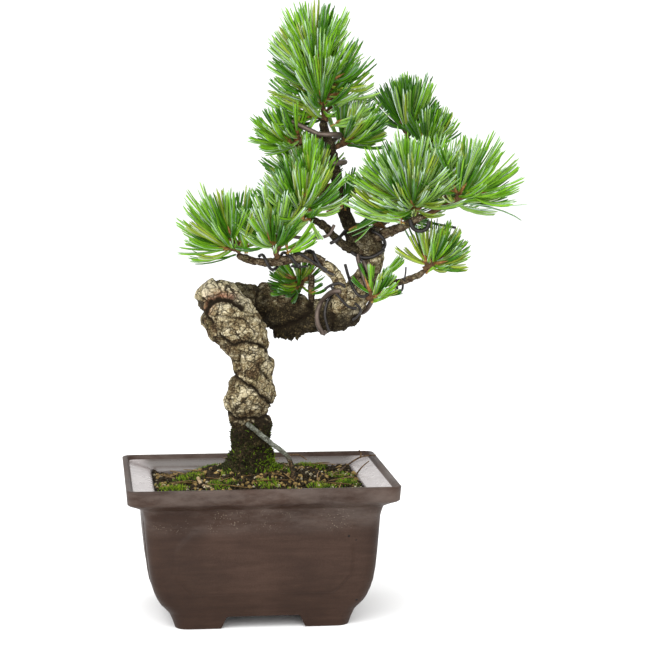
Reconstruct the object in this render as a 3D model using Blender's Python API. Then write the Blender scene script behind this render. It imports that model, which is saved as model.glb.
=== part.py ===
"""A japanese white pine bonsai in a brown clay pot.

The old trunk rises from the soil, folds back over itself, runs level to the right and turns up again into a
thin leader. Boughs carry separate masses of needles. Training wire is still wound round trunk and leader.

Sizes are millimetres in the pot's own frame: X to the viewer's right, Y away from the viewer, Z up, and the
table at zero under the middle of the pot. At the end everything moves so that the origin is the middle of
the underside of the whole bonsai's bounding box.
"""

import math
import random
from collections import namedtuple

import bmesh
import bpy
from mathutils import Matrix, Vector, geometry, noise
from mathutils.bvhtree import BVHTree

MM = 0.001
GAP = 0.3
CUT_CLEARANCE = 0.5
SEED = 41
GOLDEN_ANGLE = math.pi * (3 - math.sqrt(5))

POT_WIDTH = 130.0
POT_DEPTH = 103.0
POT_HEIGHT = 69.5
POT_WALL = 5.8
POT_CORNER = 6.5
RIM_CORNER = 5.0
RIM_OVERHANG = 8.4
WALL_TOP = 55.0
DEPTH_TAPER = 0.37
CORNER_STEPS = 4
FOOT_HEIGHT = 6.0
FLOOR_TOP = 11.0
ARCH_WIDTH = 38.0
SIDE_ARCH_WIDTH = 30.0
ARCH_SLOPE = 3.0
BELOW_TABLE = 1.0

SOIL_SEAT = 69.7
SOIL_MIDDLE = (-3.0, 1.0)
SOIL_SEAT_RADIUS = 19.0
SOIL_SLOPE_LENGTH = 24.0
SOIL_EDGE = 65.4
SOIL_EDGE_RING = 62.0
SOIL_RINGS = 7
SOIL_ROUGHNESS = 0.9
SOIL_LUMP_SCALE = 0.16
HOLLOW_MIDDLE = (-34.0, 30.0)
HOLLOW_RADIUS = 24.0
HOLLOW_DEPTH = 4.5
TRUNK_FOOT = SOIL_SEAT + GAP

LIMB_STEPS = 2
GROOVED_STEPS = 4
LOWER_SIDES = 14
MIDDLE_SIDES = 14
UPPER_SIDES = 11
LEADER_SIDES = 8
BOUGH_SIDES = 7
DOME_DEGREES = (30, 58, 78)
DOME_HEIGHT = 0.75
SCAR_DEPTH = 0.05
SCAR_PITCH = 0.42
PLATE_DEPTH = 0.11
PLATE_SCALE = 0.2
GROOVE_WIDTH = 1.9
CUSHION_SIDES = 7
CUSHION_SUNK = 6.0
CUSHION_SHOULDER = (0.78, 0.62)

WIRE_RADIUS = 1.25
THIN_WIRE_RADIUS = 0.75
WIRE_SIDES = 5
WIRE_STEPS = 9
WIRE_REACH = 20.0
FREE_END_SHARES = (0.25, 0.6, 1.0)

NEEDLES_PER_SHOOT = 8
NEEDLE_RADIUS = 0.6
NEEDLE_SIDES = 3
NEEDLE_CLOSING = 0.85
NEEDLE_LENGTHS = (0.88, 1.0)
SUNK_SHARE = 0.15
FIRST_NEEDLE = 0.35
LAST_NEEDLE = 0.95
TWIG_SIDES = 3
UPWARD = 0.15
SHOOT_LENGTHS = (0.85, 1.1)
SHOOT_RADII = (1.5, 0.9)
STEM_RADII = (1.36, 1.7)

# Height and inset from the rim's outer face, for each bend of the pot's outer wall
OUTER_WALL = (
    (0.0, 23.0),
    (4.0, 21.6),
    (7.5, 20.0),
    (9.0, 18.6),
    (12.0, 15.8),
    (14.5, 14.3),
    (18.0, 12.8),
    (22.0, 11.6),
    (28.0, 10.6),
    (36.0, 9.8),
    (46.0, 9.0),
    (55.0, 8.4),
    (58.6, 7.4),
    (60.3, 4.6),
    (61.8, 1.4),
    (62.6, 0.5),
    (68.6, 0.0),
)

# Depth below the pot's top, inset and corner radius, from the lip down the flange inside it
RIM_TOP = (
    (0.0, 0.8, 4.4),
    (0.1, 2.4, 3.6),
    (2.4, 3.6, 3.0),
    (4.2, 13.4, 3.6),
)
CAVITY_HEIGHTS = (64.6, WALL_TOP, 36.0, 22.0, 15.0, FLOOR_TOP)

# Points are x, y, z and the limb's radius there
TRUNK_LOWER = (
    (-3, 1, TRUNK_FOOT, 15.5),
    (-3, 1, 74, 11.6),
    (-3, 0, 80, 9.9),
    (-3, 0, 92, 9.7),
    (-4, 0, 102, 11.6),
    (-2, 0, 110, 11.2),
    (-2, -1, 118, 9.8),
    (-3, -1, 128, 9.9),
    (-6, -2, 136, 11.8),
    (-11, -1, 142, 12.4),
    (-15.5, 1, 148, 12.6),
    (-17, 3, 154.5, 11.0),
)
TRUNK_MIDDLE = (
    (-14, 7, 150.5, 8.2),
    (-8, 15, 151, 8.8),
    (0, 20, 150.5, 9.4),
    (8, 21, 149, 10.6),
    (17, 17, 146, 11.6),
    (24, 10, 145, 9.6),
    (31, 3, 145.5, 8.0),
    (38, -4, 146.5, 8.6),
    (43.5, -6.5, 149, 8.6),
)
TRUNK_UPPER = (
    (40, -6, 149, 7.2),
    (46, -7, 154, 7.6),
    (50, -6, 160, 6.4),
    (55, -5, 168, 5.4),
    (57, -4, 175, 5.6),
    (54, -3, 182, 6.8),
    (48, 0, 186, 5.6),
)
LEADER = (
    (50, -1, 184, 3.6),
    (45, 3, 192, 3.3),
    (42, 3, 203, 3.0),
    (39, 0, 214, 2.8),
    (36, -3, 227, 2.5),
    (32, -4, 239, 2.1),
)
BOUGH_LEFT_RISE = (
    (39, -11, 149, 3.4),
    (39.5, -14.5, 160, 3.3),
    (37, -14, 167, 3.1),
    (32, -13.2, 171.5, 2.9),
)
BOUGH_LEFT = (
    (31.2, -13, 172.0, 2.9),
    (25, -13, 175, 2.6),
    (17, -14, 175, 2.3),
    (8, -13, 173, 2.1),
    (-1, -12, 173.5, 1.9),
    (-9, -11, 176, 1.7),
)
BOUGH_LEFT_MID = (
    (53, -4, 177, 2.6),
    (44, -8, 179.5, 2.3),
    (38, -10, 184, 2.0),
    (31, -12, 191, 1.8),
    (25, -13, 194, 1.6),
)
BOUGH_RIGHT_PAD = (
    (55, -4, 183, 2.8),
    (64, -12, 187.5, 2.4),
    (71, -17, 191, 2.1),
    (77, -21, 195, 1.9),
)
BOUGH_RIGHT_LOW = (
    (51, -4, 160, 2.6),
    (59, -7, 163, 2.1),
    (67, -12, 162.5, 1.8),
    (74, -15, 165, 1.6),
    (80, -16, 168, 1.4),
)
BOUGH_BACK_RIGHT = (
    (42, 4, 203, 2.6),
    (52, 11, 209, 2.3),
    (64, 16, 219, 2.0),
    (77, 17, 231, 1.7),
)
BOUGH_BACK_LEFT = (
    (43.5, 3, 195, 2.4),
    (39, 13, 201, 2.1),
    (31, 23, 206, 1.8),
)
BOUGH_BACK_LOW = (
    (53, -3, 183, 2.5),
    (58, 5, 187, 2.2),
    (67, 16, 192, 1.8),
)
CUT_STUB = (
    (28, 7, 149, 1.7),
    (28, 9, 158, 1.7),
    (28, 9, 165, 1.6),
)

# Grooves that old wire left in the lower trunk: depth, and the x and z of points along each. They go on
# round the back at the same heights.
GROOVES = (
    (2.3, ((-16.5, 99.6), (-12.5, 97.1), (-3.8, 96.9), (9.0, 98.0))),
    (2.2, ((-15.4, 119.4), (-8.6, 114.8), (1.0, 109.0), (9.0, 101.0))),
    (2.3, ((-19.5, 137.4), (-13.4, 132.7), (-8.6, 134.7), (3.9, 131.5), (8.3, 126.6))),
    (2.6, ((-22.5, 143.4), (-26.3, 147.5), (-25.4, 150.0), (-18.1, 155.3), (-7.0, 151.0))),
)

# Cushions of moss on the soil: x, y, radius and height
CUSHIONS = (
    (-42, -27, 8, 1.9),
    (-20, -28, 8, 1.5),
    (3, -29, 7, 1.4),
    (29, -28, 8, 1.7),
    (42, -20, 7, 2.0),
    (41, 2, 8, 1.5),
    (-34, -8, 9, 1.4),
    (-24, 20, 8, 1.5),
    (3, 28, 8, 1.6),
    (30, 26, 9, 1.8),
)

# Each wire's points are x, y and z on its limb's middle line, its least distance from there, and how many
# degrees it has turned round the limb
WIRE_TRUNK = (
    (32, 1, 145.5, 8.6, 110),
    (33, 0, 145.8, 8.6, 10),
    (34.5, -1, 146, 8.8, -90),
    (41, -6, 149, 9.0, -180),
    (48, -7, 156, 8.0, -265),
    (53, -5.5, 165, 6.6, -340),
    (55.6, -4.7, 170, 6.4, -400),
)
WIRE_LEADER = (
    (38.8, -0.2, 215.5, 5.0, 330),
    (37.5, -1.6, 221, 5.6, 18),
    (36.0, -2.8, 226.5, 6.4, -130),
    (34.3, -3.4, 231.5, 6.6, -262),
    (33.0, -3.8, 236, 6.6, -401),
)
WIRE_FREE_END = (16.5, -7.5, 240.5)
WIRE_LEFT_BOUGH = (
    (27, -13, 174.3, 4.0, 0),
    (17, -14, 175, 3.7, 330),
    (8, -13, 173, 3.5, 600),
    (0, -12, 173.4, 3.3, 860),
)
GREY_STICK = (
    (-5.5, -10.2, 94.5, 1.2),
    (4.5, -15.4, 86.5, 1.2),
    (14, -20.5, 78.5, 1.2),
    (16.4, -22.9, 66.4, 1.3),
)

# One row for each mass of needles: the limb that bears it, where its stem ends, the way its middle shoot
# points, how many shoots, the share of the stem that bears them, degrees from the middle shoot to the
# outermost, length of a shoot and of a needle, and degrees from a shoot to the needles at its root
Mass = namedtuple("Mass", "name limb heart lean shoots along fan shoot needle spread")
MASSES = (
    Mass("needles_apex", "leader", (28.5, -3.5, 264.0), (-0.1, 0.0, 1.0), 12, 0.95, 62, 9, 28, 58),
    Mass("needles_apex_right", "leader", (45, 1, 230.5), (0.9, -0.1, 0.6), 4, 0.5, 36, 4, 21, 50),
    Mass("needles_upper_left", "leader", (17, -4, 229), (-0.9, 0.0, 0.55), 4, 0.4, 50, 4, 21, 57),
    Mass("needles_centre", "leader", (26, -5, 205.5), (-0.05, -0.1, 1.0), 4, 0.2, 20, 6, 23, 32),
    Mass("needles_left_mid", "bough_left_mid", (20, -14, 197), (-0.25, -0.1, 1.0), 6, 0.4, 70, 5, 24, 64),
    Mass("needles_left_end", "bough_left", (-13, -11, 182), (-0.75, 0.0, 0.8), 6, 0.8, 62, 6, 27, 56),
    Mass("needles_left_inner", "bough_left", (7, -17, 182), (-0.3, -0.1, 1.0), 5, 0.6, 58, 7, 23, 50),
    Mass("needles_low_back", "trunk_middle", (24, 14, 161), (-1.0, 0.2, 0.15), 4, 0.4, 80, 3, 16, 66),
    Mass("needles_right_pad", "bough_right_pad", (73, -22, 201), (-0.3, -0.1, 1.0), 8, 0.7, 72, 9, 28, 60),
    Mass("needles_right_end", "bough_right_pad", (97, -24, 205), (0.75, -0.1, 0.8), 6, 0.35, 60, 7, 29, 58),
    Mass("needles_back_right", "bough_back_right", (77, 17, 234), (0.0, 0.1, 1.0), 4, 0.5, 22, 6, 26, 34),
    Mass("needles_back_end", "bough_back_right", (88, 11, 225), (0.3, -0.1, 1.0), 3, 0.3, 36, 4, 21, 48),
    Mass("needles_right_low", "bough_right_low", (85, -16, 172), (0.6, 0.0, 0.8), 5, 0.6, 58, 4, 19, 56),
    Mass("needles_low_tuft", "trunk_upper", (55, -14.4, 155), (0.8, -0.1, 0.7), 3, 0.3, 28, 2.5, 15, 44),
    Mass("needles_back_left", "bough_back_left", (28, 27, 209), (-0.2, 0.5, 0.8), 4, 0.4, 62, 6, 24, 66),
    Mass("needles_back_low", "bough_back_low", (71, 20, 195), (0.4, 0.6, 0.8), 4, 0.5, 62, 6, 24, 66),
)


def clear_scene():
    """Removes whatever the scene holds."""
    for item in list(bpy.data.objects):
        bpy.data.objects.remove(item, do_unlink=True)


def plain_material(name, colour, roughness):
    """A material with one colour, for a sub-part's node."""
    material = bpy.data.materials.new(name)
    material.use_nodes = True
    shader = material.node_tree.nodes["Principled BSDF"]
    shader.inputs["Base Color"].default_value = (*colour, 1.0)
    shader.inputs["Roughness"].default_value = roughness
    shader.inputs["Metallic"].default_value = 0.0
    material.diffuse_color = (*colour, 1.0)
    return material


def new_object(name, mesh, material):
    """Links a mesh to the scene under its node's name."""
    item = bpy.data.objects.new(name, mesh)
    bpy.context.scene.collection.objects.link(item)
    mesh.materials.clear()
    mesh.materials.append(material)
    return item


def ring_solid(name, rings, material):
    """A closed solid from rings of equal length, each a list of points, with flat ends."""
    shape = bmesh.new()
    rows = [[shape.verts.new(Vector(point) * MM) for point in ring] for ring in rings]
    count = len(rows[0])
    for lower, upper in zip(rows, rows[1:]):
        for side in range(count):
            after = (side + 1) % count
            shape.faces.new((lower[side], lower[after], upper[after], upper[side]))
    shape.faces.new(list(reversed(rows[0])))
    shape.faces.new(rows[-1])
    bmesh.ops.recalc_face_normals(shape, faces=shape.faces)
    mesh = bpy.data.meshes.new(name)
    shape.to_mesh(mesh)
    shape.free()
    mesh.shade_smooth()
    mesh.set_sharp_from_angle(angle=math.radians(35))
    return new_object(name, mesh, material)


def apply_modifiers(item):
    """Gives an object the mesh that its modifiers make."""
    graph = bpy.context.evaluated_depsgraph_get()
    graph.update()
    mesh = bpy.data.meshes.new_from_object(item.evaluated_get(graph))
    item.modifiers.clear()
    old = item.data
    item.data = mesh
    bpy.data.meshes.remove(old)


def surface_tree(item):
    """A search tree over an object's surface."""
    shape = bmesh.new()
    shape.from_mesh(item.data)
    tree = BVHTree.FromBMesh(shape)
    shape.free()
    return tree


def rounded_rectangle(half_x, half_y, corner, height):
    """Points round a rectangle with round corners, at one height."""
    points = []
    centres = ((1, 1, 0), (-1, 1, 90), (-1, -1, 180), (1, -1, 270))
    for across, along, start in centres:
        for step in range(CORNER_STEPS + 1):
            turn = math.radians(start + 90 * step / CORNER_STEPS)
            x = across * (half_x - corner) + corner * math.cos(turn)
            y = along * (half_y - corner) + corner * math.sin(turn)
            points.append((x, y, height))
    return points


def outer_halves(height):
    """Half the pot's width and depth at a height."""
    inset = OUTER_WALL[-1][1]
    for (low, low_inset), (high, high_inset) in zip(OUTER_WALL, OUTER_WALL[1:]):
        if low <= height <= high:
            share = (height - low) / (high - low)
            inset = low_inset + (high_inset - low_inset) * share
            break
    below_rim = max(0.0, inset - RIM_OVERHANG)
    depth_inset = min(inset, RIM_OVERHANG) + below_rim * DEPTH_TAPER
    return POT_WIDTH / 2 - inset, POT_DEPTH / 2 - depth_inset


def cavity_ring(height, clearance):
    """A ring on the inside of the pot's wall, or a clearance inside that."""
    half_x, half_y = outer_halves(min(height, WALL_TOP))
    inset = POT_WALL + clearance
    return rounded_rectangle(half_x - inset, half_y - inset, POT_CORNER - POT_WALL / 2, height)


def arch_cutter(name, width, length, turn):
    """The passage between two pairs of feet, wider at the table."""
    rings = []
    for end in (-length / 2, length / 2):
        low = width / 2 + ARCH_SLOPE / 2
        high = width / 2 - ARCH_SLOPE / 2
        section = ((-low, -BELOW_TABLE), (low, -BELOW_TABLE), (high, FOOT_HEIGHT), (-high, FOOT_HEIGHT))
        ring = [Matrix.Rotation(turn, 3, "Z") @ Vector((x, end, z)) for x, z in section]
        rings.append(ring)
    cutter = ring_solid(name, rings, plain_material(name, (0.5, 0.5, 0.5), 0.5))
    cutter.hide_render = True
    cutter.display_type = "WIRE"
    return cutter


def make_pot():
    """The clay pot: tapered walls, an overhanging rim with a flange inside its lip, and four feet."""
    rings = []
    for height, inset in OUTER_WALL:
        half_x, half_y = outer_halves(height)
        corner = POT_CORNER if height < WALL_TOP else RIM_CORNER
        rings.append(rounded_rectangle(half_x, half_y, corner, height))
    for depth, inset, corner in RIM_TOP:
        half_x = POT_WIDTH / 2 - inset
        half_y = POT_DEPTH / 2 - inset
        rings.append(rounded_rectangle(half_x, half_y, corner, POT_HEIGHT - depth))
    rings += [cavity_ring(height, 0.0) for height in CAVITY_HEIGHTS]
    pot = ring_solid("pot", rings, plain_material("clay", (0.12, 0.07, 0.055), 0.6))
    cutters = (
        arch_cutter("arch_front", ARCH_WIDTH, POT_DEPTH, 0.0),
        arch_cutter("arch_side", SIDE_ARCH_WIDTH, POT_WIDTH, math.pi / 2),
    )
    for cutter in cutters:
        cut = pot.modifiers.new(cutter.name, "BOOLEAN")
        cut.operation = "DIFFERENCE"
        cut.object = cutter
    return pot


def soil_height(x, y):
    """The soil's surface: flat under the trunk, falling away to the pot's wall, lowest at the back left."""
    away = math.dist((x, y), SOIL_MIDDLE)
    if away < SOIL_SEAT_RADIUS:
        return SOIL_SEAT
    fall = min(1.0, (away - SOIL_SEAT_RADIUS) / SOIL_SLOPE_LENGTH)
    height = SOIL_SEAT + (SOIL_EDGE - SOIL_SEAT) * fall
    hollow = max(0.0, 1 - math.dist((x, y), HOLLOW_MIDDLE) / HOLLOW_RADIUS)
    rough = 1 + noise.noise(Vector((x, y, SEED)) * SOIL_LUMP_SCALE)
    return height - HOLLOW_DEPTH * hollow - SOIL_ROUGHNESS * fall * rough


def cushion(x, y, radius, height):
    """A low dome of moss, with its foot sunk in the soil."""
    ground = soil_height(x, y)
    shape = bmesh.new()
    shoulder_radius, shoulder_height = CUSHION_SHOULDER
    levels = (
        (radius, ground - CUSHION_SUNK),
        (radius, ground - GAP),
        (radius * shoulder_radius, ground + height * shoulder_height),
    )
    rings = []
    for ring_radius, level in levels:
        ring = []
        for number in range(CUSHION_SIDES):
            turn = 2 * math.pi * number / CUSHION_SIDES
            place = Vector((x + ring_radius * math.cos(turn), y + ring_radius * math.sin(turn), level))
            ring.append(shape.verts.new(place * MM))
        rings.append(ring)
    top = shape.verts.new(Vector((x, y, ground + height)) * MM)
    shape.faces.new(list(reversed(rings[0])))
    for number in range(CUSHION_SIDES):
        after = (number + 1) % CUSHION_SIDES
        for low, high in zip(rings, rings[1:]):
            shape.faces.new((low[number], low[after], high[after], high[number]))
        shape.faces.new((rings[-1][number], rings[-1][after], top))
    return shape


def make_soil():
    """The soil in the pot, with an uneven top and cushions of moss."""
    rings = [cavity_ring(FLOOR_TOP + GAP, GAP)]
    rings += [cavity_ring(height, GAP) for height in reversed(CAVITY_HEIGHTS[1:-1])]
    edge = cavity_ring(SOIL_EDGE_RING, GAP)
    for ring in range(SOIL_RINGS):
        share = 1 - ring / SOIL_RINGS
        rings.append([(x * share, y * share, soil_height(x * share, y * share)) for x, y, _ in edge])
    material = plain_material("soil", (0.09, 0.07, 0.045), 0.95)
    ground = ring_solid("soil_ground", rings, material)
    body = bmesh.new()
    body.from_mesh(ground.data)
    bpy.data.objects.remove(ground, do_unlink=True)
    return fuse("soil", [body] + [cushion(*row) for row in CUSHIONS], material)


def on_curve(t, before, start, end, after):
    """One value of a Catmull-Rom curve, at a share t of the way from its start to its end."""
    pull = (end - before) * t
    bend = (2 * before - 5 * start + 4 * end - after) * t ** 2
    ease = (3 * start - before - 3 * end + after) * t ** 3
    return start + (pull + bend + ease) / 2


def smooth_route(points, steps):
    """Points on a smooth curve through a limb's own points, radius included."""
    ends = (points[0], *points, points[-1])
    route = []
    for first, start, end, last in zip(ends, ends[1:], ends[2:], ends[3:]):
        for step in range(steps):
            t = step / steps
            route.append(tuple(on_curve(t, *values) for values in zip(first, start, end, last)))
    route.append(tuple(points[-1]))
    return route


def frames_along(route):
    """For each point of a route, its place, radius, direction and two directions across."""
    places = [Vector(point[:3]) for point in route]
    side = Vector((0, -1, 0))
    frames = []
    for index, place in enumerate(places):
        before = places[max(0, index - 1)]
        after = places[min(len(places) - 1, index + 1)]
        forward = (after - before).normalized()
        side = (side - forward * side.dot(forward)).normalized()
        frames.append((place, route[index][3], forward, side, forward.cross(side)))
    return frames


def bark(place, turn, height):
    """How far bark plates and old wire scars lift the trunk's surface, as a share of its radius."""
    scar = math.sin(turn - height * SCAR_PITCH)
    plates = noise.noise(place * PLATE_SCALE)
    return SCAR_DEPTH * scar + PLATE_DEPTH * plates


def groove_depth(place, grooves):
    """How deep the grooves cut at a place: each follows a line that is drawn on the front view."""
    spot = Vector((place.x, place.z))
    depth = 0.0
    for deepest, line in grooves:
        for start, end in zip(line, line[1:]):
            share = geometry.intersect_point_line(spot, Vector(start), Vector(end))[1]
            nearest = Vector(start).lerp(Vector(end), min(1.0, max(0.0, share)))
            depth = max(depth, deepest * math.exp(-((spot - nearest).length / GROOVE_WIDTH) ** 2))
    return depth


def limb(name, points, sides, material, knobbly=0.0, dome=False, level_foot=False, steps=LIMB_STEPS, grooves=()):
    """A tapering limb round a smooth route. A dome rounds its far end, and a level foot cuts it flat."""
    rings = []
    frames = frames_along(smooth_route(points, steps))
    for index, (place, radius, forward, side, across) in enumerate(frames):
        if level_foot and index < steps:
            forward = Vector((0, 0, 1))
            side = Vector((0, -1, 0))
            across = forward.cross(side)
        ring = []
        for number in range(sides):
            turn = 2 * math.pi * number / sides
            out = side * math.cos(turn) + across * math.sin(turn)
            lift = 1 + knobbly * bark(place + out * radius, turn, place.z + place.x)
            spot = place + out * radius * lift
            ring.append(spot - out * groove_depth(spot, grooves))
        rings.append(ring)
    if dome:
        place, radius, forward = frames[-1][:3]
        for degrees in DOME_DEGREES:
            turn = math.radians(degrees)
            middle = place + forward * radius * math.sin(turn) * DOME_HEIGHT
            rings.append([middle + (point - place) * math.cos(turn) for point in rings[len(frames) - 1]])
    return ring_solid(name, rings, material)


def grown_copy(item, distance):
    """A copy of a solid with its surface moved outward."""
    mesh = item.data.copy()
    normals = [vertex.normal.copy() for vertex in mesh.vertices]
    for vertex, normal in zip(mesh.vertices, normals):
        vertex.co += normal * distance * MM
    copy = bpy.data.objects.new(item.name + "_grown", mesh)
    bpy.context.scene.collection.objects.link(copy)
    return copy


def drop_scraps(item):
    """Keeps only the largest of an object's separate bodies."""
    shape = bmesh.new()
    shape.from_mesh(item.data)
    left = set(shape.verts)
    bodies = []
    while left:
        body = set()
        edge = [left.pop()]
        while edge:
            vertex = edge.pop()
            body.add(vertex)
            fresh = {link.other_vert(vertex) for link in vertex.link_edges} & left
            left -= fresh
            edge.extend(fresh)
        bodies.append(body)
    bodies.sort(key=len)
    for body in bodies[:-1]:
        bmesh.ops.delete(shape, geom=list(body), context="VERTS")
    shape.to_mesh(item.data)
    shape.free()


def cut_clear(item, carrier):
    """Cuts a limb's root back to just short of the limb that carries it."""
    cutter = grown_copy(carrier, CUT_CLEARANCE)
    cut = item.modifiers.new("clear", "BOOLEAN")
    cut.operation = "DIFFERENCE"
    cut.solver = "MANIFOLD"
    cut.object = cutter
    apply_modifiers(item)
    drop_scraps(item)
    bpy.data.objects.remove(cutter, do_unlink=True)


def make_limbs():
    """The trunk's four lengths, the boughs and the cut stub, each cut clear of what carries it."""
    bark_material = plain_material("bark", (0.33, 0.27, 0.2), 0.9)
    twig_material = plain_material("young_bark", (0.2, 0.16, 0.11), 0.9)
    limbs = {
        "trunk_lower": limb(
            "trunk_lower", TRUNK_LOWER, LOWER_SIDES, bark_material, knobbly=1.0, dome=True, level_foot=True,
            steps=GROOVED_STEPS, grooves=GROOVES),
        "trunk_middle": limb(
            "trunk_middle", TRUNK_MIDDLE, MIDDLE_SIDES, bark_material, knobbly=1.0, dome=True),
        "trunk_upper": limb("trunk_upper", TRUNK_UPPER, UPPER_SIDES, bark_material, knobbly=0.8, dome=True),
        "leader": limb("leader", LEADER, LEADER_SIDES, twig_material),
    }
    rows = (
        ("cut_stub", CUT_STUB, ("trunk_middle",)),
        ("bough_left_rise", BOUGH_LEFT_RISE, ("trunk_middle", "trunk_upper")),
        ("bough_left", BOUGH_LEFT, ()),
        ("bough_left_mid", BOUGH_LEFT_MID, ("trunk_upper",)),
        ("bough_right_pad", BOUGH_RIGHT_PAD, ("trunk_upper",)),
        ("bough_right_low", BOUGH_RIGHT_LOW, ("trunk_upper",)),
        ("bough_back_right", BOUGH_BACK_RIGHT, ("leader",)),
        ("bough_back_left", BOUGH_BACK_LEFT, ("leader",)),
        ("bough_back_low", BOUGH_BACK_LOW, ("trunk_upper",)),
    )
    for name, points, carriers in rows:
        limbs[name] = limb(name, points, BOUGH_SIDES, twig_material)
        for carrier in carriers:
            cut_clear(limbs[name], limbs[carrier])
    cut_clear(limbs["leader"], limbs["trunk_upper"])
    cut_clear(limbs["trunk_upper"], limbs["trunk_middle"])
    cut_clear(limbs["trunk_middle"], limbs["trunk_lower"])
    limbs["grey_stick"] = limb("grey_stick", GREY_STICK, BOUGH_SIDES, twig_material)
    return limbs


def taper(start, end, start_radius, end_radius, sides):
    """A straight twig that tapers from one end to the other, or a needle where the far end has no radius."""
    forward = (end - start).normalized()
    side = forward.orthogonal().normalized()
    across = forward.cross(side)
    shape = bmesh.new()
    turns = [2 * math.pi * number / sides for number in range(sides)]
    outs = [side * math.cos(turn) + across * math.sin(turn) for turn in turns]
    root = [shape.verts.new((start + out * start_radius) * MM) for out in outs]
    shape.faces.new(list(reversed(root)))
    if end_radius:
        tip = [shape.verts.new((end + out * end_radius) * MM) for out in outs]
        shape.faces.new(tip)
    else:
        tip = [shape.verts.new(end * MM)] * sides
    for number in range(sides):
        after = (number + 1) % sides
        corners = (root[number], root[after], tip[after], tip[number])
        shape.faces.new(corners if end_radius else corners[:3])
    bmesh.ops.recalc_face_normals(shape, faces=shape.faces)
    return shape


def touches(shape, neighbours):
    """True if a shape meets any of the neighbours' surfaces."""
    tree = BVHTree.FromBMesh(shape)
    return any(tree.overlap(other) for other in neighbours)


def lean_from(axis, degrees, turn):
    """A direction that lies some degrees off an axis, at a turn round it."""
    side = axis.orthogonal().normalized()
    across = axis.cross(side)
    off = math.radians(degrees)
    return axis * math.cos(off) + (side * math.cos(turn) + across * math.sin(turn)) * math.sin(off)


def stem_foot(mass, limb_tree):
    """Where a mass's stem starts: just clear of the spot on its limb that lies nearest to its heart."""
    heart = Vector(mass.heart)
    nearest = limb_tree.find_nearest(heart * MM)[0] / MM
    return nearest + (heart - nearest).normalized() * GAP


def shoots_of(mass, foot, chance):
    """The start and end of each shoot: the first ends the stem, the rest leave it further down and wider."""
    middle = Vector(mass.lean).normalized()
    first_turn = chance.uniform(0, 2 * math.pi)
    for number in range(mass.shoots):
        share = number / max(1, mass.shoots - 1)
        start = Vector(mass.heart).lerp(foot, mass.along * share)
        way = lean_from(middle, mass.fan * math.sqrt(share), first_turn + number * GOLDEN_ANGLE)
        way = (way + Vector((0, 0, UPWARD))).normalized()
        yield start, start + way * mass.shoot * chance.uniform(*SHOOT_LENGTHS)


def needles_of(start, end, mass, chance):
    """The root and point of each needle: they stand round the shoot, and close up towards its tip."""
    way = (end - start).normalized()
    first_turn = chance.uniform(0, 2 * math.pi)
    for number in range(NEEDLES_PER_SHOOT):
        share = (number + 0.5) / NEEDLES_PER_SHOOT
        root = start.lerp(end, FIRST_NEEDLE + (LAST_NEEDLE - FIRST_NEEDLE) * share)
        off = mass.spread * (1 - NEEDLE_CLOSING * share)
        needle_way = lean_from(way, off, first_turn + number * GOLDEN_ANGLE)
        needle_way = (needle_way + Vector((0, 0, UPWARD))).normalized()
        yield root, root + needle_way * mass.needle * chance.uniform(*NEEDLE_LENGTHS)


def wood_of(mass, limb_tree):
    """The stem of a mass and its shoots, as closed pieces, and the two ends of each shoot."""
    chance = random.Random(f"{SEED} {mass.name}")
    foot = stem_foot(mass, limb_tree)
    pieces = [taper(foot, Vector(mass.heart), *STEM_RADII, TWIG_SIDES)]
    shoots = list(shoots_of(mass, foot, chance))
    for start, end in shoots:
        pieces.append(taper(start, end, *SHOOT_RADII, TWIG_SIDES))
    return pieces, shoots, chance


def make_mass(mass, wood, neighbours, material):
    """One mass of needles: its wood, and the needles that touch no neighbour and cross no other needle."""
    pieces, shoots, chance = wood
    taken = []
    for start, end in shoots:
        for root, point in needles_of(start, end, mass, chance):
            room = taper(root, point, NEEDLE_RADIUS + 2 * GAP, 0, NEEDLE_SIDES)
            free_end = taper(root.lerp(point, SUNK_SHARE), point, NEEDLE_RADIUS, 0, NEEDLE_SIDES)
            if not touches(room, neighbours) and not touches(free_end, taken):
                pieces.append(taper(root, point, NEEDLE_RADIUS, 0, NEEDLE_SIDES))
                taken.append(BVHTree.FromBMesh(free_end))
            room.free()
            free_end.free()
    return fuse(mass.name, pieces, material)


def fuse(name, pieces, material):
    """Joins closed pieces into one solid."""
    collection = bpy.data.collections.new(name)
    bpy.context.scene.collection.children.link(collection)
    meshes = []
    for shape in pieces:
        mesh = bpy.data.meshes.new(name)
        shape.to_mesh(mesh)
        shape.free()
        meshes.append(mesh)
    whole = new_object(name, meshes[0], material)
    others = [bpy.data.objects.new(name + "_piece", mesh) for mesh in meshes[1:]]
    for piece in others:
        collection.objects.link(piece)
    join = whole.modifiers.new("fuse", "BOOLEAN")
    join.operation = "UNION"
    join.operand_type = "COLLECTION"
    join.solver = "MANIFOLD"
    join.collection = collection
    apply_modifiers(whole)
    for piece in others:
        bpy.data.objects.remove(piece, do_unlink=True)
    bpy.data.collections.remove(collection)
    return whole


def wound_line(route, wire_radius, carrier_trees):
    """The middle line of a wire wound round a limb, just clear of the limb's surface."""
    places = []
    smooth = smooth_route(route, WIRE_STEPS)
    for point, (place, least, _, side, across) in zip(smooth, frames_along(smooth)):
        turn = math.radians(point[4])
        out = side * math.cos(turn) + across * math.sin(turn)
        away = least
        for tree in carrier_trees:
            hit = tree.ray_cast((place + out * WIRE_REACH) * MM, -out, WIRE_REACH * MM)[0]
            if hit:
                away = max(away, (hit / MM - place).length + wire_radius + 2 * GAP)
        places.append((place, out, away))
    line = []
    for index, (place, out, _) in enumerate(places):
        near = places[max(0, index - 1):index + 2]
        line.append(place + out * max(item[2] for item in near))
    return line


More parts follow.
